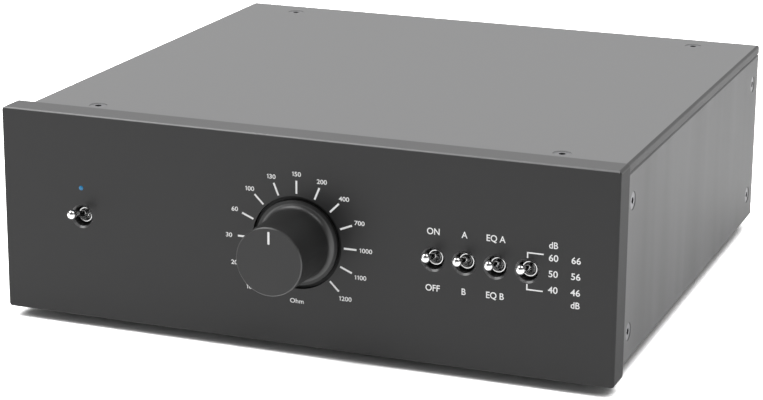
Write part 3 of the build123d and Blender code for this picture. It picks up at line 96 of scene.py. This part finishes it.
class Tree:
    """Short calls for building the node tree of a material or of the world."""

    def __init__(self, owner):
        owner.use_nodes = True
        self.nodes = owner.node_tree.nodes
        self.links = owner.node_tree.links

    def add(self, kind, **values):
        """A new node, with its sockets or its own settings set by name."""
        node = self.nodes.new(kind)
        for key, value in values.items():
            if key in node.inputs:
                node.inputs[key].default_value = value
            else:
                setattr(node, key, value)
        return node

    def link(self, source, target):
        self.links.new(source, target)

    def noise(self, scale, detail, stretch=(1, 1, 1)):
        """Noise over the object's own coordinates, multiplied by stretch."""
        mapping = self.add("ShaderNodeMapping", Scale=stretch)
        self.link(self.add("ShaderNodeTexCoord").outputs["Object"], mapping.inputs["Vector"])
        texture = self.add("ShaderNodeTexNoise", Scale=scale, Detail=detail)
        self.link(mapping.outputs["Vector"], texture.inputs["Vector"])
        return texture.outputs["Fac"]

    def ranged(self, value, low, high, start=NOISE_LOW, end=NOISE_HIGH, interpolation="LINEAR"):
        """A number that goes from low to high as value goes from start to end."""
        limits = {"From Min": start, "From Max": end, "To Min": low, "To Max": high}
        node = self.add("ShaderNodeMapRange", interpolation_type=interpolation, **limits)
        self.link(value, node.inputs["Value"])
        return node.outputs["Result"]

    def blended(self, value, low, high, start=NOISE_LOW, end=NOISE_HIGH):
        """A colour that goes from low to high as value goes from start to end."""
        node = self.add("ShaderNodeValToRGB")
        for stop, position, colour in zip(node.color_ramp.elements, (start, end), (low, high)):
            stop.position = position
            stop.color = (*colour, 1)
        self.link(value, node.inputs["Fac"])
        return node.outputs["Color"]

    def combined(self, operation, first, second):
        """Two numbers joined by a Math node."""
        node = self.add("ShaderNodeMath", operation=operation)
        self.link(first, node.inputs[0])
        self.link(second, node.inputs[1])
        return node.outputs["Value"]

    def mirrored(self, path):
        """1 for a ray that comes from a reflection or through glass, otherwise 0."""
        return self.combined("MAXIMUM", path["Is Glossy Ray"], path["Is Transmission Ray"])

    def mixed(self, factor, first, second):
        """The first shader at factor 0, the second at factor 1."""
        node = self.add("ShaderNodeMixShader")
        for source, target in zip((factor, first, second), node.inputs):
            self.link(source, target)
        return node.outputs["Shader"]


def new_material(name):
    """A material with its tree and its Principled shader."""
    material = bpy.data.materials.new(name)
    tree = Tree(material)
    return material, tree, tree.nodes["Principled BSDF"]


# ------------------------------------------------------------------- finishes
PATCH_DETAIL = 3.0
GRAIN_DETAIL = 2.0
GLOSS_SPREAD = 0.06
GLOW_SCALE = 600.0
GLOW_DETAIL = 1.0
GLOW_SPREAD = 0.15


def surface(name, colour, roughness, metallic=0.0, specular=0.5, spread=0.06,
            patch_scale=14.0, stretch=(1, 1, 1), grain=0.0, grain_scale=900.0):
    """A solid finish with slow changes of tone and gloss, and a fine grain of a depth in mm."""
    material, tree, shader = new_material(name)
    shader.inputs["Metallic"].default_value = metallic
    shader.inputs["Specular IOR Level"].default_value = specular
    patches = tree.noise(patch_scale, PATCH_DETAIL, stretch)
    tree.link(tree.blended(patches, *around(colour, spread)), shader.inputs["Base Color"])
    gloss = tree.ranged(patches, roughness * (1 - GLOSS_SPREAD), roughness * (1 + GLOSS_SPREAD))
    tree.link(gloss, shader.inputs["Roughness"])
    if grain:
        bump = tree.add("ShaderNodeBump", Distance=grain * MM)
        tree.link(tree.noise(grain_scale, GRAIN_DETAIL), bump.inputs["Height"])
        tree.link(bump.outputs["Normal"], shader.inputs["Normal"])
    return material


def glowing(name, colour, roughness, strength):
    """A lens that gives off light of its own colour."""
    material, tree, shader = new_material(name)
    shader.inputs["Roughness"].default_value = roughness
    shader.inputs["Emission Strength"].default_value = strength
    glow = tree.blended(tree.noise(GLOW_SCALE, GLOW_DETAIL), *around(colour, GLOW_SPREAD))
    tree.link(glow, shader.inputs["Base Color"])
    tree.link(glow, shader.inputs["Emission Color"])
    return material


FINISHES = {
    "panel_anodised": dict(
        colour=(0.0117, 0.0117, 0.0121), roughness=0.37, specular=0.36, grain=0.012),
    # painted shade: the front panel's side faces get a copy of its anodising that shines less,
    # so they come out darker
    "panel_flank_painted_shade": dict(
        colour=(0.018, 0.018, 0.019), roughness=0.50, specular=0.22, grain=0.012),
    # painted light: the front panel's top and bottom faces get a paler copy of its anodising, so
    # the top comes out lighter
    "panel_rim_painted_light": dict(
        colour=(0.060, 0.060, 0.061), roughness=0.40, grain=0.012),
    # painted shade: the recess round the dial gets a near-black copy of the anodising
    "dial_recess_painted_shade": dict(
        colour=grey(0.006), roughness=0.50, specular=0.25, grain=0.012),
    # painted light: the walls of the switch holes get a paler copy of the anodising, which lifts
    # their shade
    "switch_hole_painted_light": dict(
        colour=grey(0.026), roughness=0.50, specular=0.30, grain=0.012),
    # partly painted highlight: the front panel's bevels, the lips of the switch holes among
    # them, get a paler colour as well as more shine
    "bevel_painted_highlight": dict(
        colour=(0.055, 0.055, 0.056), roughness=0.28, specular=0.9, grain=0.01),
    # painted highlight: the bevel along the front panel's top edge is much paler still, a bright
    # line along it
    "upper_bevel_painted_highlight": dict(
        colour=(0.17, 0.17, 0.172), roughness=0.28, specular=0.9, grain=0.01),
    "knob_face_anodised": dict(
        colour=(0.0135, 0.0135, 0.0138), roughness=0.37, specular=0.40, grain=0.008),
    "knob_body_anodised": dict(
        colour=grey(0.014), roughness=0.50, specular=0.6, grain=0.008),
    # partly painted highlight: the knob's fillets are smoother and shinier, and their paler
    # colour stands in for a highlight
    "turned_fillet_painted_highlight": dict(
        colour=grey(0.019), roughness=0.38, specular=0.85, grain=0.008),
    "case_anodised": dict(
        colour=(0.178, 0.178, 0.180), roughness=0.46, patch_scale=7.0, grain=0.014),
    # partly painted shade: the side panels are a darker copy of the case's finish, with streaks
    # of tone at random
    "side_streaked_painted_shade": dict(
        colour=(0.102, 0.102, 0.104), roughness=0.46, spread=0.50, patch_scale=8.0,
        stretch=(1, 4, 0.3), grain=0.014),
    # painted shade: the top cover's flanks get a darker copy of the case's finish
    "cover_flank_painted_shade": dict(
        colour=(0.055, 0.055, 0.056), roughness=0.50, specular=0.35, grain=0.014),
    # painted shade: the top cover's rounded side edges get a darker copy of the case's finish, a
    # dark band
    "cover_edge_painted_shade": dict(
        colour=(0.045, 0.045, 0.046), roughness=0.50, grain=0.014),
    "bare_aluminium": dict(
        colour=(0.62, 0.62, 0.63), roughness=0.32, metallic=1.0, grain=0.01),
    "screw_steel": dict(
        colour=(0.21, 0.21, 0.22), roughness=0.34, metallic=1.0, grain=0.008),
    "bright_chrome": dict(
        colour=grey(0.80), roughness=0.08, metallic=1.0, spread=0.02),
    "satin_chrome": dict(
        colour=grey(0.52), roughness=0.18, metallic=1.0, spread=0.04),
    # painted shade: a dark metal for the insides of the switch bores and for the sockets and
    # sides of the screw heads
    "painted_shade_metal": dict(
        colour=grey(0.10), roughness=0.30, metallic=1.0, spread=0.20, patch_scale=800.0),
    "satin_nickel": dict(
        colour=(0.62, 0.60, 0.56), roughness=0.28, metallic=1.0, grain=0.008),
    "gold_plate": dict(
        colour=(0.72, 0.50, 0.20), roughness=0.22, metallic=1.0, spread=0.04),
    "black_shell": dict(
        colour=(0.030, 0.030, 0.032), roughness=0.42, grain=0.02),
    "black_plastic": dict(
        colour=(0.020, 0.020, 0.022), roughness=0.55, grain=0.03),
    "moulded_rubber": dict(
        colour=grey(0.020), roughness=0.80, grain=0.05, grain_scale=500.0),
    "solder_mask": dict(
        colour=(0.02, 0.14, 0.06), roughness=0.30, spread=0.20, grain=0.02),
    "white_insulator": dict(
        colour=(0.72, 0.72, 0.70), roughness=0.45),
    "red_insulator": dict(
        colour=(0.55, 0.03, 0.03), roughness=0.45),
    "white_print": dict(
        colour=grey(0.90), roughness=0.60, spread=0.03, patch_scale=300.0),
}
finishes = {name: surface(name, **values) for name, values in FINISHES.items()}
finishes["blue_light"] = glowing(
    "blue_light", colour=(0.004, 0.13, 0.28), roughness=0.2, strength=0.5)

FINISH_OF_SLOT = {
    "dark_anodised": "panel_anodised",
    "case_anodised": "case_anodised",
    "bare_aluminium": "bare_aluminium",
    "black_rubber": "moulded_rubber",
    "screw_steel": "screw_steel",
    "switch_chrome": "bright_chrome",
    "nickel_plate": "satin_nickel",
    "blue_lens": "blue_light",
    "circuit_board": "solder_mask",
    "black_plastic": "black_plastic",
    "black_metal": "black_shell",
    "gold_plate": "gold_plate",
}


def dress_nodes():
    """Every CAD node gets the finish of its slot in the record; the side panels get their own, a
    streaked copy of the case's finish that is darker, which is painted shade.
    """
    for part in frame["record"]["subparts"]:
        materials = nodes[part["node"]].data.materials
        materials.clear()
        materials.append(finishes[FINISH_OF_SLOT[part["material_slot"]]])
    for name in ("left_side_panel", "right_side_panel"):
        nodes[name].data.materials[0] = finishes["side_streaked_painted_shade"]


# --------------------------------------- faces that get a finish of their own
FLAT_LIMIT = 0.98  # a flat face's normal has more than this along its axis
SLANT_LIMIT = 0.03  # a bevel's normal has more than this towards the front
FACE_SLACK = 0.02 * MM

BORE_RADIUS = 2.12 * MM
BUSHING_FACE_SINK = 2.5 * MM
HOLE_LIP_RADIUS = 4.1 * MM
HOLE_LIP_DEPTH = 0.62 * MM
EDGE_DEPTH = 0.52 * MM
RECESS_RADIUS = 15.2 * MM
KNOB_TAPER_LIMIT = 0.1  # the tapered body's normal has less than this towards the front
COVER_EDGE_DEPTH = 0.95 * MM

INSULATOR_INSIDE = 2.3 * MM
INSULATOR_OUTSIDE = 3.6 * MM
INSULATOR_FINISHES = {
    "phono_in_left": "white_insulator",
    "phono_out_left": "white_insulator",
    "phono_in_right": "red_insulator",
    "phono_out_right": "red_insulator",
}

PIN_TIP_DEPTH = 3.0 * MM
BALANCED_PIN_ANGLES = (30.0, 150.0, 270.0)
SOCKET_PINS = {  # radius of the pins' circle, angles on it, radius that holds one pin
    "balanced_out_left": (4.05 * MM, BALANCED_PIN_ANGLES, 1.25 * MM),
    "balanced_out_right": (4.05 * MM, BALANCED_PIN_ANGLES, 1.25 * MM),
    "dc_socket": (0.0, (0.0,), 1.08 * MM),
}

SCREW_HEADS = (  # node, outward axis, whether some heads face the other way
    ("cover_screws", (0, 0, 1), False),
    ("side_screws", (1, 0, 0), True),
    ("rear_screws", (0, 1, 0), False),
    ("base_screws", (0, 0, -1), False),
)


def finish_faces(node, finish, wanted):
    """One more finish, on those faces of a node whose middle and normal pass a test."""
    mesh = nodes[node].data
    mesh.materials.append(finishes[finish])
    last = len(mesh.materials) - 1
    for face in mesh.polygons:
        if wanted(face.center, face.normal):
            face.material_index = last


def finish_switch_bushings():
    """Satin in front and on the rim of the bore; inside the bore a dark metal is painted shade.
    """
    for switch in SWITCHES:
        x = switch_x(switch)

        def inside(middle, normal):
            face_y = FRONT_Y + BUSHING_FACE_SINK + FACE_SLACK
            on_rim = middle.y < face_y and normal.y < -FLAT_LIMIT
            return off_axis(middle, x, CONTROL_Z) < BORE_RADIUS and not on_rim

        def in_panel(middle, normal):
            return middle.y < PANEL_HIGH.y and not inside(middle, normal)

        finish_faces(f"{switch}_body", "satin_chrome", in_panel)
        finish_faces(f"{switch}_body", "painted_shade_metal", inside)


def finish_front_panel():
    """Flanks that shine less and so come out darker, which is painted shade; a paler top and
    bottom face, which is painted light; a near-black recess round the dial, painted shade; paler
    walls in the switch holes, painted light; and bevels that are paler and shine more, the upper
    one most, which are painted highlights.
    """
    places = [switch_x(switch) for switch in SWITCHES]

    def at_switch(middle):
        return any(off_axis(middle, x, CONTROL_Z) < HOLE_LIP_RADIUS for x in places)

    def behind_face(middle):
        return middle.y > FRONT_Y + FACE_SLACK

    def flank(middle, normal):
        return abs(normal.x) > FLAT_LIMIT

    def rim(middle, normal):
        return abs(normal.z) > FLAT_LIMIT

    def recess(middle, normal):
        return off_axis(middle, 0, CONTROL_Z) < RECESS_RADIUS and behind_face(middle)

    def hole(middle, normal):
        return at_switch(middle) and behind_face(middle)

    def bevel(middle, normal):
        slanted = -FLAT_LIMIT < normal.y < -SLANT_LIMIT
        depth = HOLE_LIP_DEPTH if at_switch(middle) else EDGE_DEPTH
        to_edge = min(middle.x - PANEL_LOW.x, PANEL_HIGH.x - middle.x, middle.z - PANEL_LOW.z)
        return slanted and middle.y < FRONT_Y + depth and to_edge >= EDGE_DEPTH

    def upper_bevel(middle, normal):
        return bevel(middle, normal) and middle.z > PANEL_HIGH.z - EDGE_DEPTH

    finish_faces("front_panel", "panel_flank_painted_shade", flank)
    finish_faces("front_panel", "panel_rim_painted_light", rim)
    finish_faces("front_panel", "dial_recess_painted_shade", recess)
    finish_faces("front_panel", "switch_hole_painted_light", hole)
    finish_faces("front_panel", "bevel_painted_highlight", bevel)
    finish_faces("front_panel", "upper_bevel_painted_highlight", upper_bevel)


def finish_knob():
    """Its face, its tapered body, and the smoother fillets at its foot and round its face; the
    fillets' paler colour is a painted highlight.
    """
    def face(middle, normal):
        return normal.y <= -FLAT_LIMIT

    def body(middle, normal):
        return abs(normal.y) <= KNOB_TAPER_LIMIT

    def turned(middle, normal):
        return -FLAT_LIMIT < normal.y < -KNOB_TAPER_LIMIT

    finish_faces("loading_knob", "knob_face_anodised", face)
    finish_faces("loading_knob", "knob_body_anodised", body)
    finish_faces("loading_knob", "turned_fillet_painted_highlight", turned)


def finish_insulators():
    """The rings between sleeve and contact: white on the left channel, red on the right."""
    for node, finish in INSULATOR_FINISHES.items():
        low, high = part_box(node)
        axis = (low + high) / 2

        def ring(middle, normal):
            radius = off_axis(middle, axis.x, axis.z)
            return INSULATOR_INSIDE < radius < INSULATOR_OUTSIDE and abs(normal.y) > FLAT_LIMIT

        finish_faces(node, finish, ring)


def finish_socket_pins():
    """The pins inside the black sockets are bare metal."""
    for node, (circle, angles, radius) in SOCKET_PINS.items():
        low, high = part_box(node)
        axis = (low + high) / 2
        turns = [radians(angle) for angle in angles]
        places = [(axis.x + circle * cos(turn), axis.z + circle * sin(turn)) for turn in turns]

        def pin(middle, normal):
            floor = abs(normal.y) > FLAT_LIMIT and middle.y < high.y - PIN_TIP_DEPTH
            return not floor and any(off_axis(middle, x, z) < radius for x, z in places)

        finish_faces(node, "satin_nickel", pin)


def finish_screw_heads():
    """Only the flat top of each head is bright; its socket and the rest get a dark metal, which
    is painted shade.
    """
    for node, outward, both_ways in SCREW_HEADS:
        axis = Vector(outward)

        def height(point):
            return abs(point.dot(axis)) if both_ways else point.dot(axis)

        top = max(height(vertex.co) for vertex in nodes[node].data.vertices)

        def below_top(middle, normal):
            return height(middle) < top - FACE_SLACK

        # painted shade: everything below the top of each head gets the dark metal
        finish_faces(node, "painted_shade_metal", below_top)


def finish_top_cover():
    """Darker copies of the case's finish on the cover's flanks and on its rounded side edges,
    which is painted shade.
    """
    low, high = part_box("top_cover")

    def to_side(middle):
        return min(middle.x - low.x, high.x - middle.x)

    def flank(middle, normal):
        return abs(normal.x) > FLAT_LIMIT and to_side(middle) < FACE_SLACK

    def rounded_edge(middle, normal):
        rounded = all(abs(share) < FLAT_LIMIT for share in normal)
        at_side = to_side(middle) < COVER_EDGE_DEPTH
        return rounded and at_side and middle.z > high.z - COVER_EDGE_DEPTH

    finish_faces("top_cover", "cover_flank_painted_shade", flank)
    finish_faces("top_cover", "cover_edge_painted_shade", rounded_edge)


# -------------------------------------------------------------- printed marks
PRINT_THICKNESS = 0.02 * MM
PRINT_SINK = 0.004 * MM
CAP_HEIGHT_OF_FONT = 0.69  # a capital's share of the font's size
STROKE_GAIN = 0.018  # how far a stroke's edges move out, as a share of a capital's height

SCALE_CAP_HEIGHT = 1.4 * MM
SCALE_WIDTH = 1.14
SCALE_START = -135.0
SCALE_STEP = 22.5
SCALE_VALUES = (10, 20, 30, 60, 100, 130, 150, 200, 400, 700, 1000, 1100, 1200)
TICK_INNER_RADIUS = 15.8 * MM
TICK_OUTER_RADIUS = 20.0 * MM
TICK_WIDTH = 0.62 * MM
NUMBER_RADIUS = 22.1 * MM
NUMBER_SIDE_SHIFT = 0.95 * MM  # added radius beside and below the dial, none at its top
UNIT_DROP = 19.0 * MM

ONE_STROKE = 0.25 * MM  # a one that starts a number is drawn with strips of this width
ONE_FLAG = Vector((-0.36, -0.34)) * MM  # from the head of the one to the end of its flag
ONE_GAP = 0.40 * MM
ONE_CELL = 0.88 * MM

LABEL_CAP_HEIGHT = 2.0 * MM
DIGIT_WIDTH = 1.06
LETTER_WIDTH = 0.93
SWITCH_LABELS = (  # side of the switch, rise, texts
    ("upper", 8.95 * MM, {"mute_switch": "ON", "input_switch": "A", "curve_switch": "EQ A"}),
    ("lower", -9.05 * MM, {"mute_switch": "OFF", "input_switch": "B", "curve_switch": "EQ B"}),
)
GAIN_COLUMNS = ((83.1 * MM, ("60", "50", "40")), (90.1 * MM, ("66", "56", "46")))
GAIN_ROWS = (5.0 * MM, 0.0, -5.0 * MM)
GAIN_UNITS = (  # name, x, rise
    ("gain_heading", 83.0 * MM, 8.95 * MM),
    ("gain_footing", 90.2 * MM, -8.95 * MM),
)
BRACKET_WIDTH = 0.42 * MM
BRACKET_REACH = 5.0 * MM
BRACKET_NEAR = 4.1 * MM
BRACKET_FAR = 6.0 * MM

POINTER_WIDTH = 0.71 * MM
POINTER_LENGTH = 4.04 * MM
POINTER_TOP = 9.58 * MM
POINTER_FLOOR = 0.2 * MM  # depth of the groove in the dial's face
POINTER_SINK = 0.03 * MM
POINTER_ROUNDING = POINTER_WIDTH / 5
POINTER_SEGMENTS = 3


def ride_printed(obj, body):
    obj.data.materials.append(finishes["white_print"])
    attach(obj, body)


def printed_word(name, text, x, z, cap_height, width):
    """Flat lettering centred on a point of the front panel's face; gives back half its width."""
    curve = bpy.data.curves.new(name, "FONT")
    curve.body = text
    curve.size = cap_height / CAP_HEIGHT_OF_FONT
    curve.extrude = PRINT_THICKNESS / 2
    curve.offset = cap_height * STROKE_GAIN
    obj = new_object(name, curve)
    bpy.context.view_layer.update()
    corners = [Vector(corner) for corner in obj.bound_box]
    middle = sum(corners, Vector()) / len(corners)
    obj.rotation_euler = (pi / 2, 0, 0)
    obj.scale.x = width
    baseline = z - cap_height / 2
    obj.location = (x - width * middle.x, FRONT_Y - PRINT_THICKNESS / 2 + PRINT_SINK, baseline)
    ride_printed(obj, "case")
    return width * (max(corner.x for corner in corners) - middle.x)


def printed_strips(name, strips, width):
    """Flat bars between pairs of (x, z) points of the front panel's face."""
    shape = bmesh.new()
    back = FRONT_Y + PRINT_SINK
    front = back - PRINT_THICKNESS
    for start, end in strips:
        start, end = Vector(start), Vector(end)
        along = (end - start).normalized()
        across = Vector((-along.y, along.x)) * width / 2
        for vertex in bmesh.ops.create_cube(shape, size=1.0)["verts"]:
            point = start if vertex.co.z > 0 else end
            point = point - across if vertex.co.x > 0 else point + across
            vertex.co = (point.x, front if vertex.co.y < 0 else back, point.y)
    bmesh.ops.recalc_face_normals(shape, faces=shape.faces)
    ride_printed(mesh_object(name, shape), "case")


def scale_word(name, text, x, z):
    """Lettering of the dial's scale; gives back the strokes of its leading ones."""
    rest = text.lstrip("1")
    ones = len(text) - len(rest)
    middle = x + ones * ONE_CELL / 2
    half = printed_word(name, rest, middle, z, SCALE_CAP_HEIGHT, SCALE_WIDTH)
    strokes = []
    for index in range(ones):
        foot = Vector((middle - half - ONE_GAP - index * ONE_CELL, z - SCALE_CAP_HEIGHT / 2))
        head = foot + Vector((0, SCALE_CAP_HEIGHT))
        strokes += [(foot, head), (head - Vector((0, ONE_STROKE / 2)), head + ONE_FLAG)]
    return strokes


def dial_scale():
    """Thirteen ticks and their numbers round the dial, and the unit below."""
    centre = Vector((0, CONTROL_Z))
    ticks, ones = [], []
    for index, value in enumerate(SCALE_VALUES):
        angle = radians(SCALE_START + index * SCALE_STEP)
        out = Vector((sin(angle), cos(angle)))
        ticks.append((centre + out * TICK_INNER_RADIUS, centre + out * TICK_OUTER_RADIUS))
        place = centre + out * (NUMBER_RADIUS + NUMBER_SIDE_SHIFT * min(1, 1 - out.y))
        ones += scale_word(f"scale_{value}", str(value), place.x, place.y)
    printed_strips("scale_ticks", ticks, TICK_WIDTH)
    printed_strips("scale_ones", ones, ONE_STROKE)
    scale_word("scale_unit", "Ohm", 0, CONTROL_Z - UNIT_DROP)


def label_word(name, text, x, rise):
    width = DIGIT_WIDTH if text.isdigit() else LETTER_WIDTH
    printed_word(name, text, x, CONTROL_Z + rise, LABEL_CAP_HEIGHT, width)


def switch_labels():
    for side, rise, labels in SWITCH_LABELS:
        for switch, text in labels.items():
            label_word(f"{switch}_{side}_label", text, switch_x(switch), rise)


def gain_labels():
    """Two columns of numbers beside the gain switch, their unit, and their brackets."""
    for column, (x, values) in enumerate(GAIN_COLUMNS):
        for rise, value in zip(GAIN_ROWS, values):
            label_word(f"gain_{value}_column_{column}", value, x, rise)
    for name, x, rise in GAIN_UNITS:
        label_word(name, "dB", x, rise)
    x = switch_x("gain_switch")
    strips = []
    for side in (1, -1):
        near = CONTROL_Z + side * BRACKET_NEAR
        far = CONTROL_Z + side * BRACKET_FAR
        turn = far - side * BRACKET_WIDTH / 2
        strips.append(((x, near), (x, far)))
        strips.append(((x + BRACKET_WIDTH / 2, turn), (x + BRACKET_REACH, turn)))
    printed_strips("gain_brackets", strips, BRACKET_WIDTH)


def dial_pointer():
    """White line that fills the groove in the dial's face."""
    shape = bmesh.new()
    bmesh.ops.create_cube(shape, size=1.0)
    depth = POINTER_FLOOR - POINTER_SINK
    middle = Vector((0, KNOB_FACE_Y + POINTER_SINK + depth / 2,
                     CONTROL_Z + POINTER_TOP - POINTER_LENGTH / 2))
    size = Matrix.Diagonal((POINTER_WIDTH, depth, POINTER_LENGTH, 1))
    bmesh.ops.transform(shape, matrix=Matrix.Translation(middle) @ size, verts=shape.verts)
    inward = [edge for edge in shape.edges
              if abs(edge.verts[0].co.y - edge.verts[1].co.y) > depth / 2]
    bmesh.ops.bevel(shape, geom=inward, offset=POINTER_ROUNDING, segments=POINTER_SEGMENTS,
                    affect="EDGES")
    ride_printed(mesh_object("dial_pointer", shape), "knob")


# ------------------------------------------------------- floor, light, camera
FLOOR_SIZE = 6.0
FLOOR_COLOUR = grey(0.90)
FLOOR_ROUGHNESS = 0.9
FLOOR_SPECULAR = 0.1
FLOOR_MIRRORED_GAIN = grey(0.7)
# painted shadow: the floor's tone to the camera where ambient occlusion finds it covered
FLOOR_PAINTED_SHADOW_TONE = grey(0.65)
FLOOR_OPEN_TONE = grey(2.4)
OPEN_RANGE = (0.24, 0.43)
OPEN_DISTANCE = 30.0 * MM

WHITE_STRENGTH = 1.0
WORLD_STRENGTH = 0.46
DARK_STRENGTH = 0.12
DARK_ABOVE = (0.20, 0.34)
DARK_AHEAD = (0.3, 0.7)

LAMPS = (  # name, place, aim, size, power
    ("left_overhead", (-0.66, -0.35, 1.15), (0, 0, 0), (0.85, 0.85), 9.0),
    ("right_overhead", (0.60, -0.05, 1.2), (0, 0, 0), (0.85, 0.85), 6.5),
    ("left_softbox", (-1.1, -1.0, 0.45), (0, 0, 0.03), (0.9, 0.7), 3.0),
)

CAMERA_PLACE = Vector((274.17, -729.51, 252.71)) * MM
CAMERA_TARGET = Vector((-5.94, -4.29, 26.69)) * MM
CAMERA_ROLL = radians(0.366)
CAMERA_LENS = 110.38
SENSOR_WIDTH = 36.0
CLIP_START, CLIP_END = 0.05, 20.0


def studio_floor():
    """A pale floor, whiter in reflections and to the camera.

    To the camera its tone goes by how open the floor is: white in the open, and darker in the
    narrow strip where the object stands close over it. That darker strip is a painted shadow,
    set by ambient occlusion, on top of the real shadow that the lamps cast.
    """
    shape = bmesh.new()
    bmesh.ops.create_grid(shape, x_segments=2, y_segments=2, size=FLOOR_SIZE / 2)
    floor = mesh_object("studio_floor", shape)
    material, tree, shader = new_material("studio_floor")
    shader.inputs["Base Color"].default_value = (*FLOOR_COLOUR, 1)
    shader.inputs["Roughness"].default_value = FLOOR_ROUGHNESS
    shader.inputs["Specular IOR Level"].default_value = FLOOR_SPECULAR

    path = tree.add("ShaderNodeLightPath").outputs
    nothing = tree.add("ShaderNodeBsdfTransparent", Color=(0, 0, 0, 1))
    gain = tree.add("ShaderNodeBsdfDiffuse", Color=(*FLOOR_MIRRORED_GAIN, 1))
    extra = tree.mixed(tree.mirrored(path), nothing.outputs["BSDF"], gain.outputs["BSDF"])
    plain = tree.add("ShaderNodeAddShader")
    tree.link(shader.outputs["BSDF"], plain.inputs[0])
    tree.link(extra, plain.inputs[1])

    # painted shadow: the floor's colour to the camera darkens where ambient occlusion finds it
    # covered
    openness = tree.add("ShaderNodeAmbientOcclusion", Distance=OPEN_DISTANCE).outputs["AO"]
    tone = tree.blended(openness, FLOOR_PAINTED_SHADOW_TONE, FLOOR_OPEN_TONE, *OPEN_RANGE)
    pictured = tree.add("ShaderNodeBsdfDiffuse")
    tree.link(tone, pictured.inputs["Color"])

    total = tree.mixed(path["Is Camera Ray"], plain.outputs["Shader"], pictured.outputs["BSDF"])
    tree.link(total, tree.nodes["Material Output"].inputs["Surface"])
    floor.data.materials.append(material)


def studio_world():
    """White to the camera, plain soft light, and a white room in reflections.

    The reflected room is dark overhead, except towards the rear.
    """
    world = bpy.data.worlds.new("studio")
    bpy.context.scene.world = world
    tree = Tree(world)
    background = tree.nodes["Background"]
    background.inputs["Color"].default_value = (1, 1, 1, 1)

    direction = tree.add("ShaderNodeSeparateXYZ")
    tree.link(tree.add("ShaderNodeTexCoord").outputs["Generated"], direction.inputs["Vector"])
    above = tree.ranged(direction.outputs["Z"], 0, 1, *DARK_ABOVE, "SMOOTHSTEP")
    ahead = tree.ranged(direction.outputs["Y"], 1, 0, *DARK_AHEAD, "SMOOTHSTEP")
    dark = tree.combined("MULTIPLY", above, ahead)
    room = tree.ranged(dark, WHITE_STRENGTH, DARK_STRENGTH, 0, 1, "SMOOTHSTEP")

    path = tree.add("ShaderNodeLightPath").outputs
    lit = tree.add("ShaderNodeMix", A=WORLD_STRENGTH)
    tree.link(tree.mirrored(path), lit.inputs["Factor"])
    tree.link(room, lit.inputs["B"])
    shown = tree.add("ShaderNodeMix", B=WHITE_STRENGTH)
    tree.link(path["Is Camera Ray"], shown.inputs["Factor"])
    tree.link(lit.outputs["Result"], shown.inputs["A"])
    tree.link(shown.outputs["Result"], background.inputs["Strength"])


def towards(place, target):
    """Rotation that points a lamp or a camera from its place to its target."""
    return (Vector(target) - Vector(place)).to_track_quat("-Z", "Y")


def studio_lamps():
    for name, place, target, size, power in LAMPS:
        light = bpy.data.lights.new(name, "AREA")
        light.shape = "RECTANGLE"
        light.size, light.size_y = size
        light.energy = power
        lamp = new_object(name, light)
        lamp.location = place
        lamp.rotation_euler = towards(place, target).to_euler()


def photo_camera():
    data = bpy.data.cameras.new("camera")
    data.lens = CAMERA_LENS
    data.sensor_width = SENSOR_WIDTH
    data.clip_start, data.clip_end = CLIP_START, CLIP_END
    camera = new_object("camera", data)
    aim = towards(CAMERA_PLACE, CAMERA_TARGET).to_matrix().to_4x4()
    roll = Matrix.Rotation(CAMERA_ROLL, 4, "Z")
    camera.matrix_world = Matrix.Translation(CAMERA_PLACE) @ aim @ roll
    bpy.context.scene.camera = camera


photo_camera()
studio_floor()
studio_world()
studio_lamps()
dress_nodes()
finish_switch_bushings()
finish_front_panel()
finish_knob()
finish_insulators()
finish_socket_pins()
finish_screw_heads()
finish_top_cover()
dial_scale()
switch_labels()
gain_labels()
dial_pointer()

bpy.context.scene.view_settings.view_transform = "Standard"
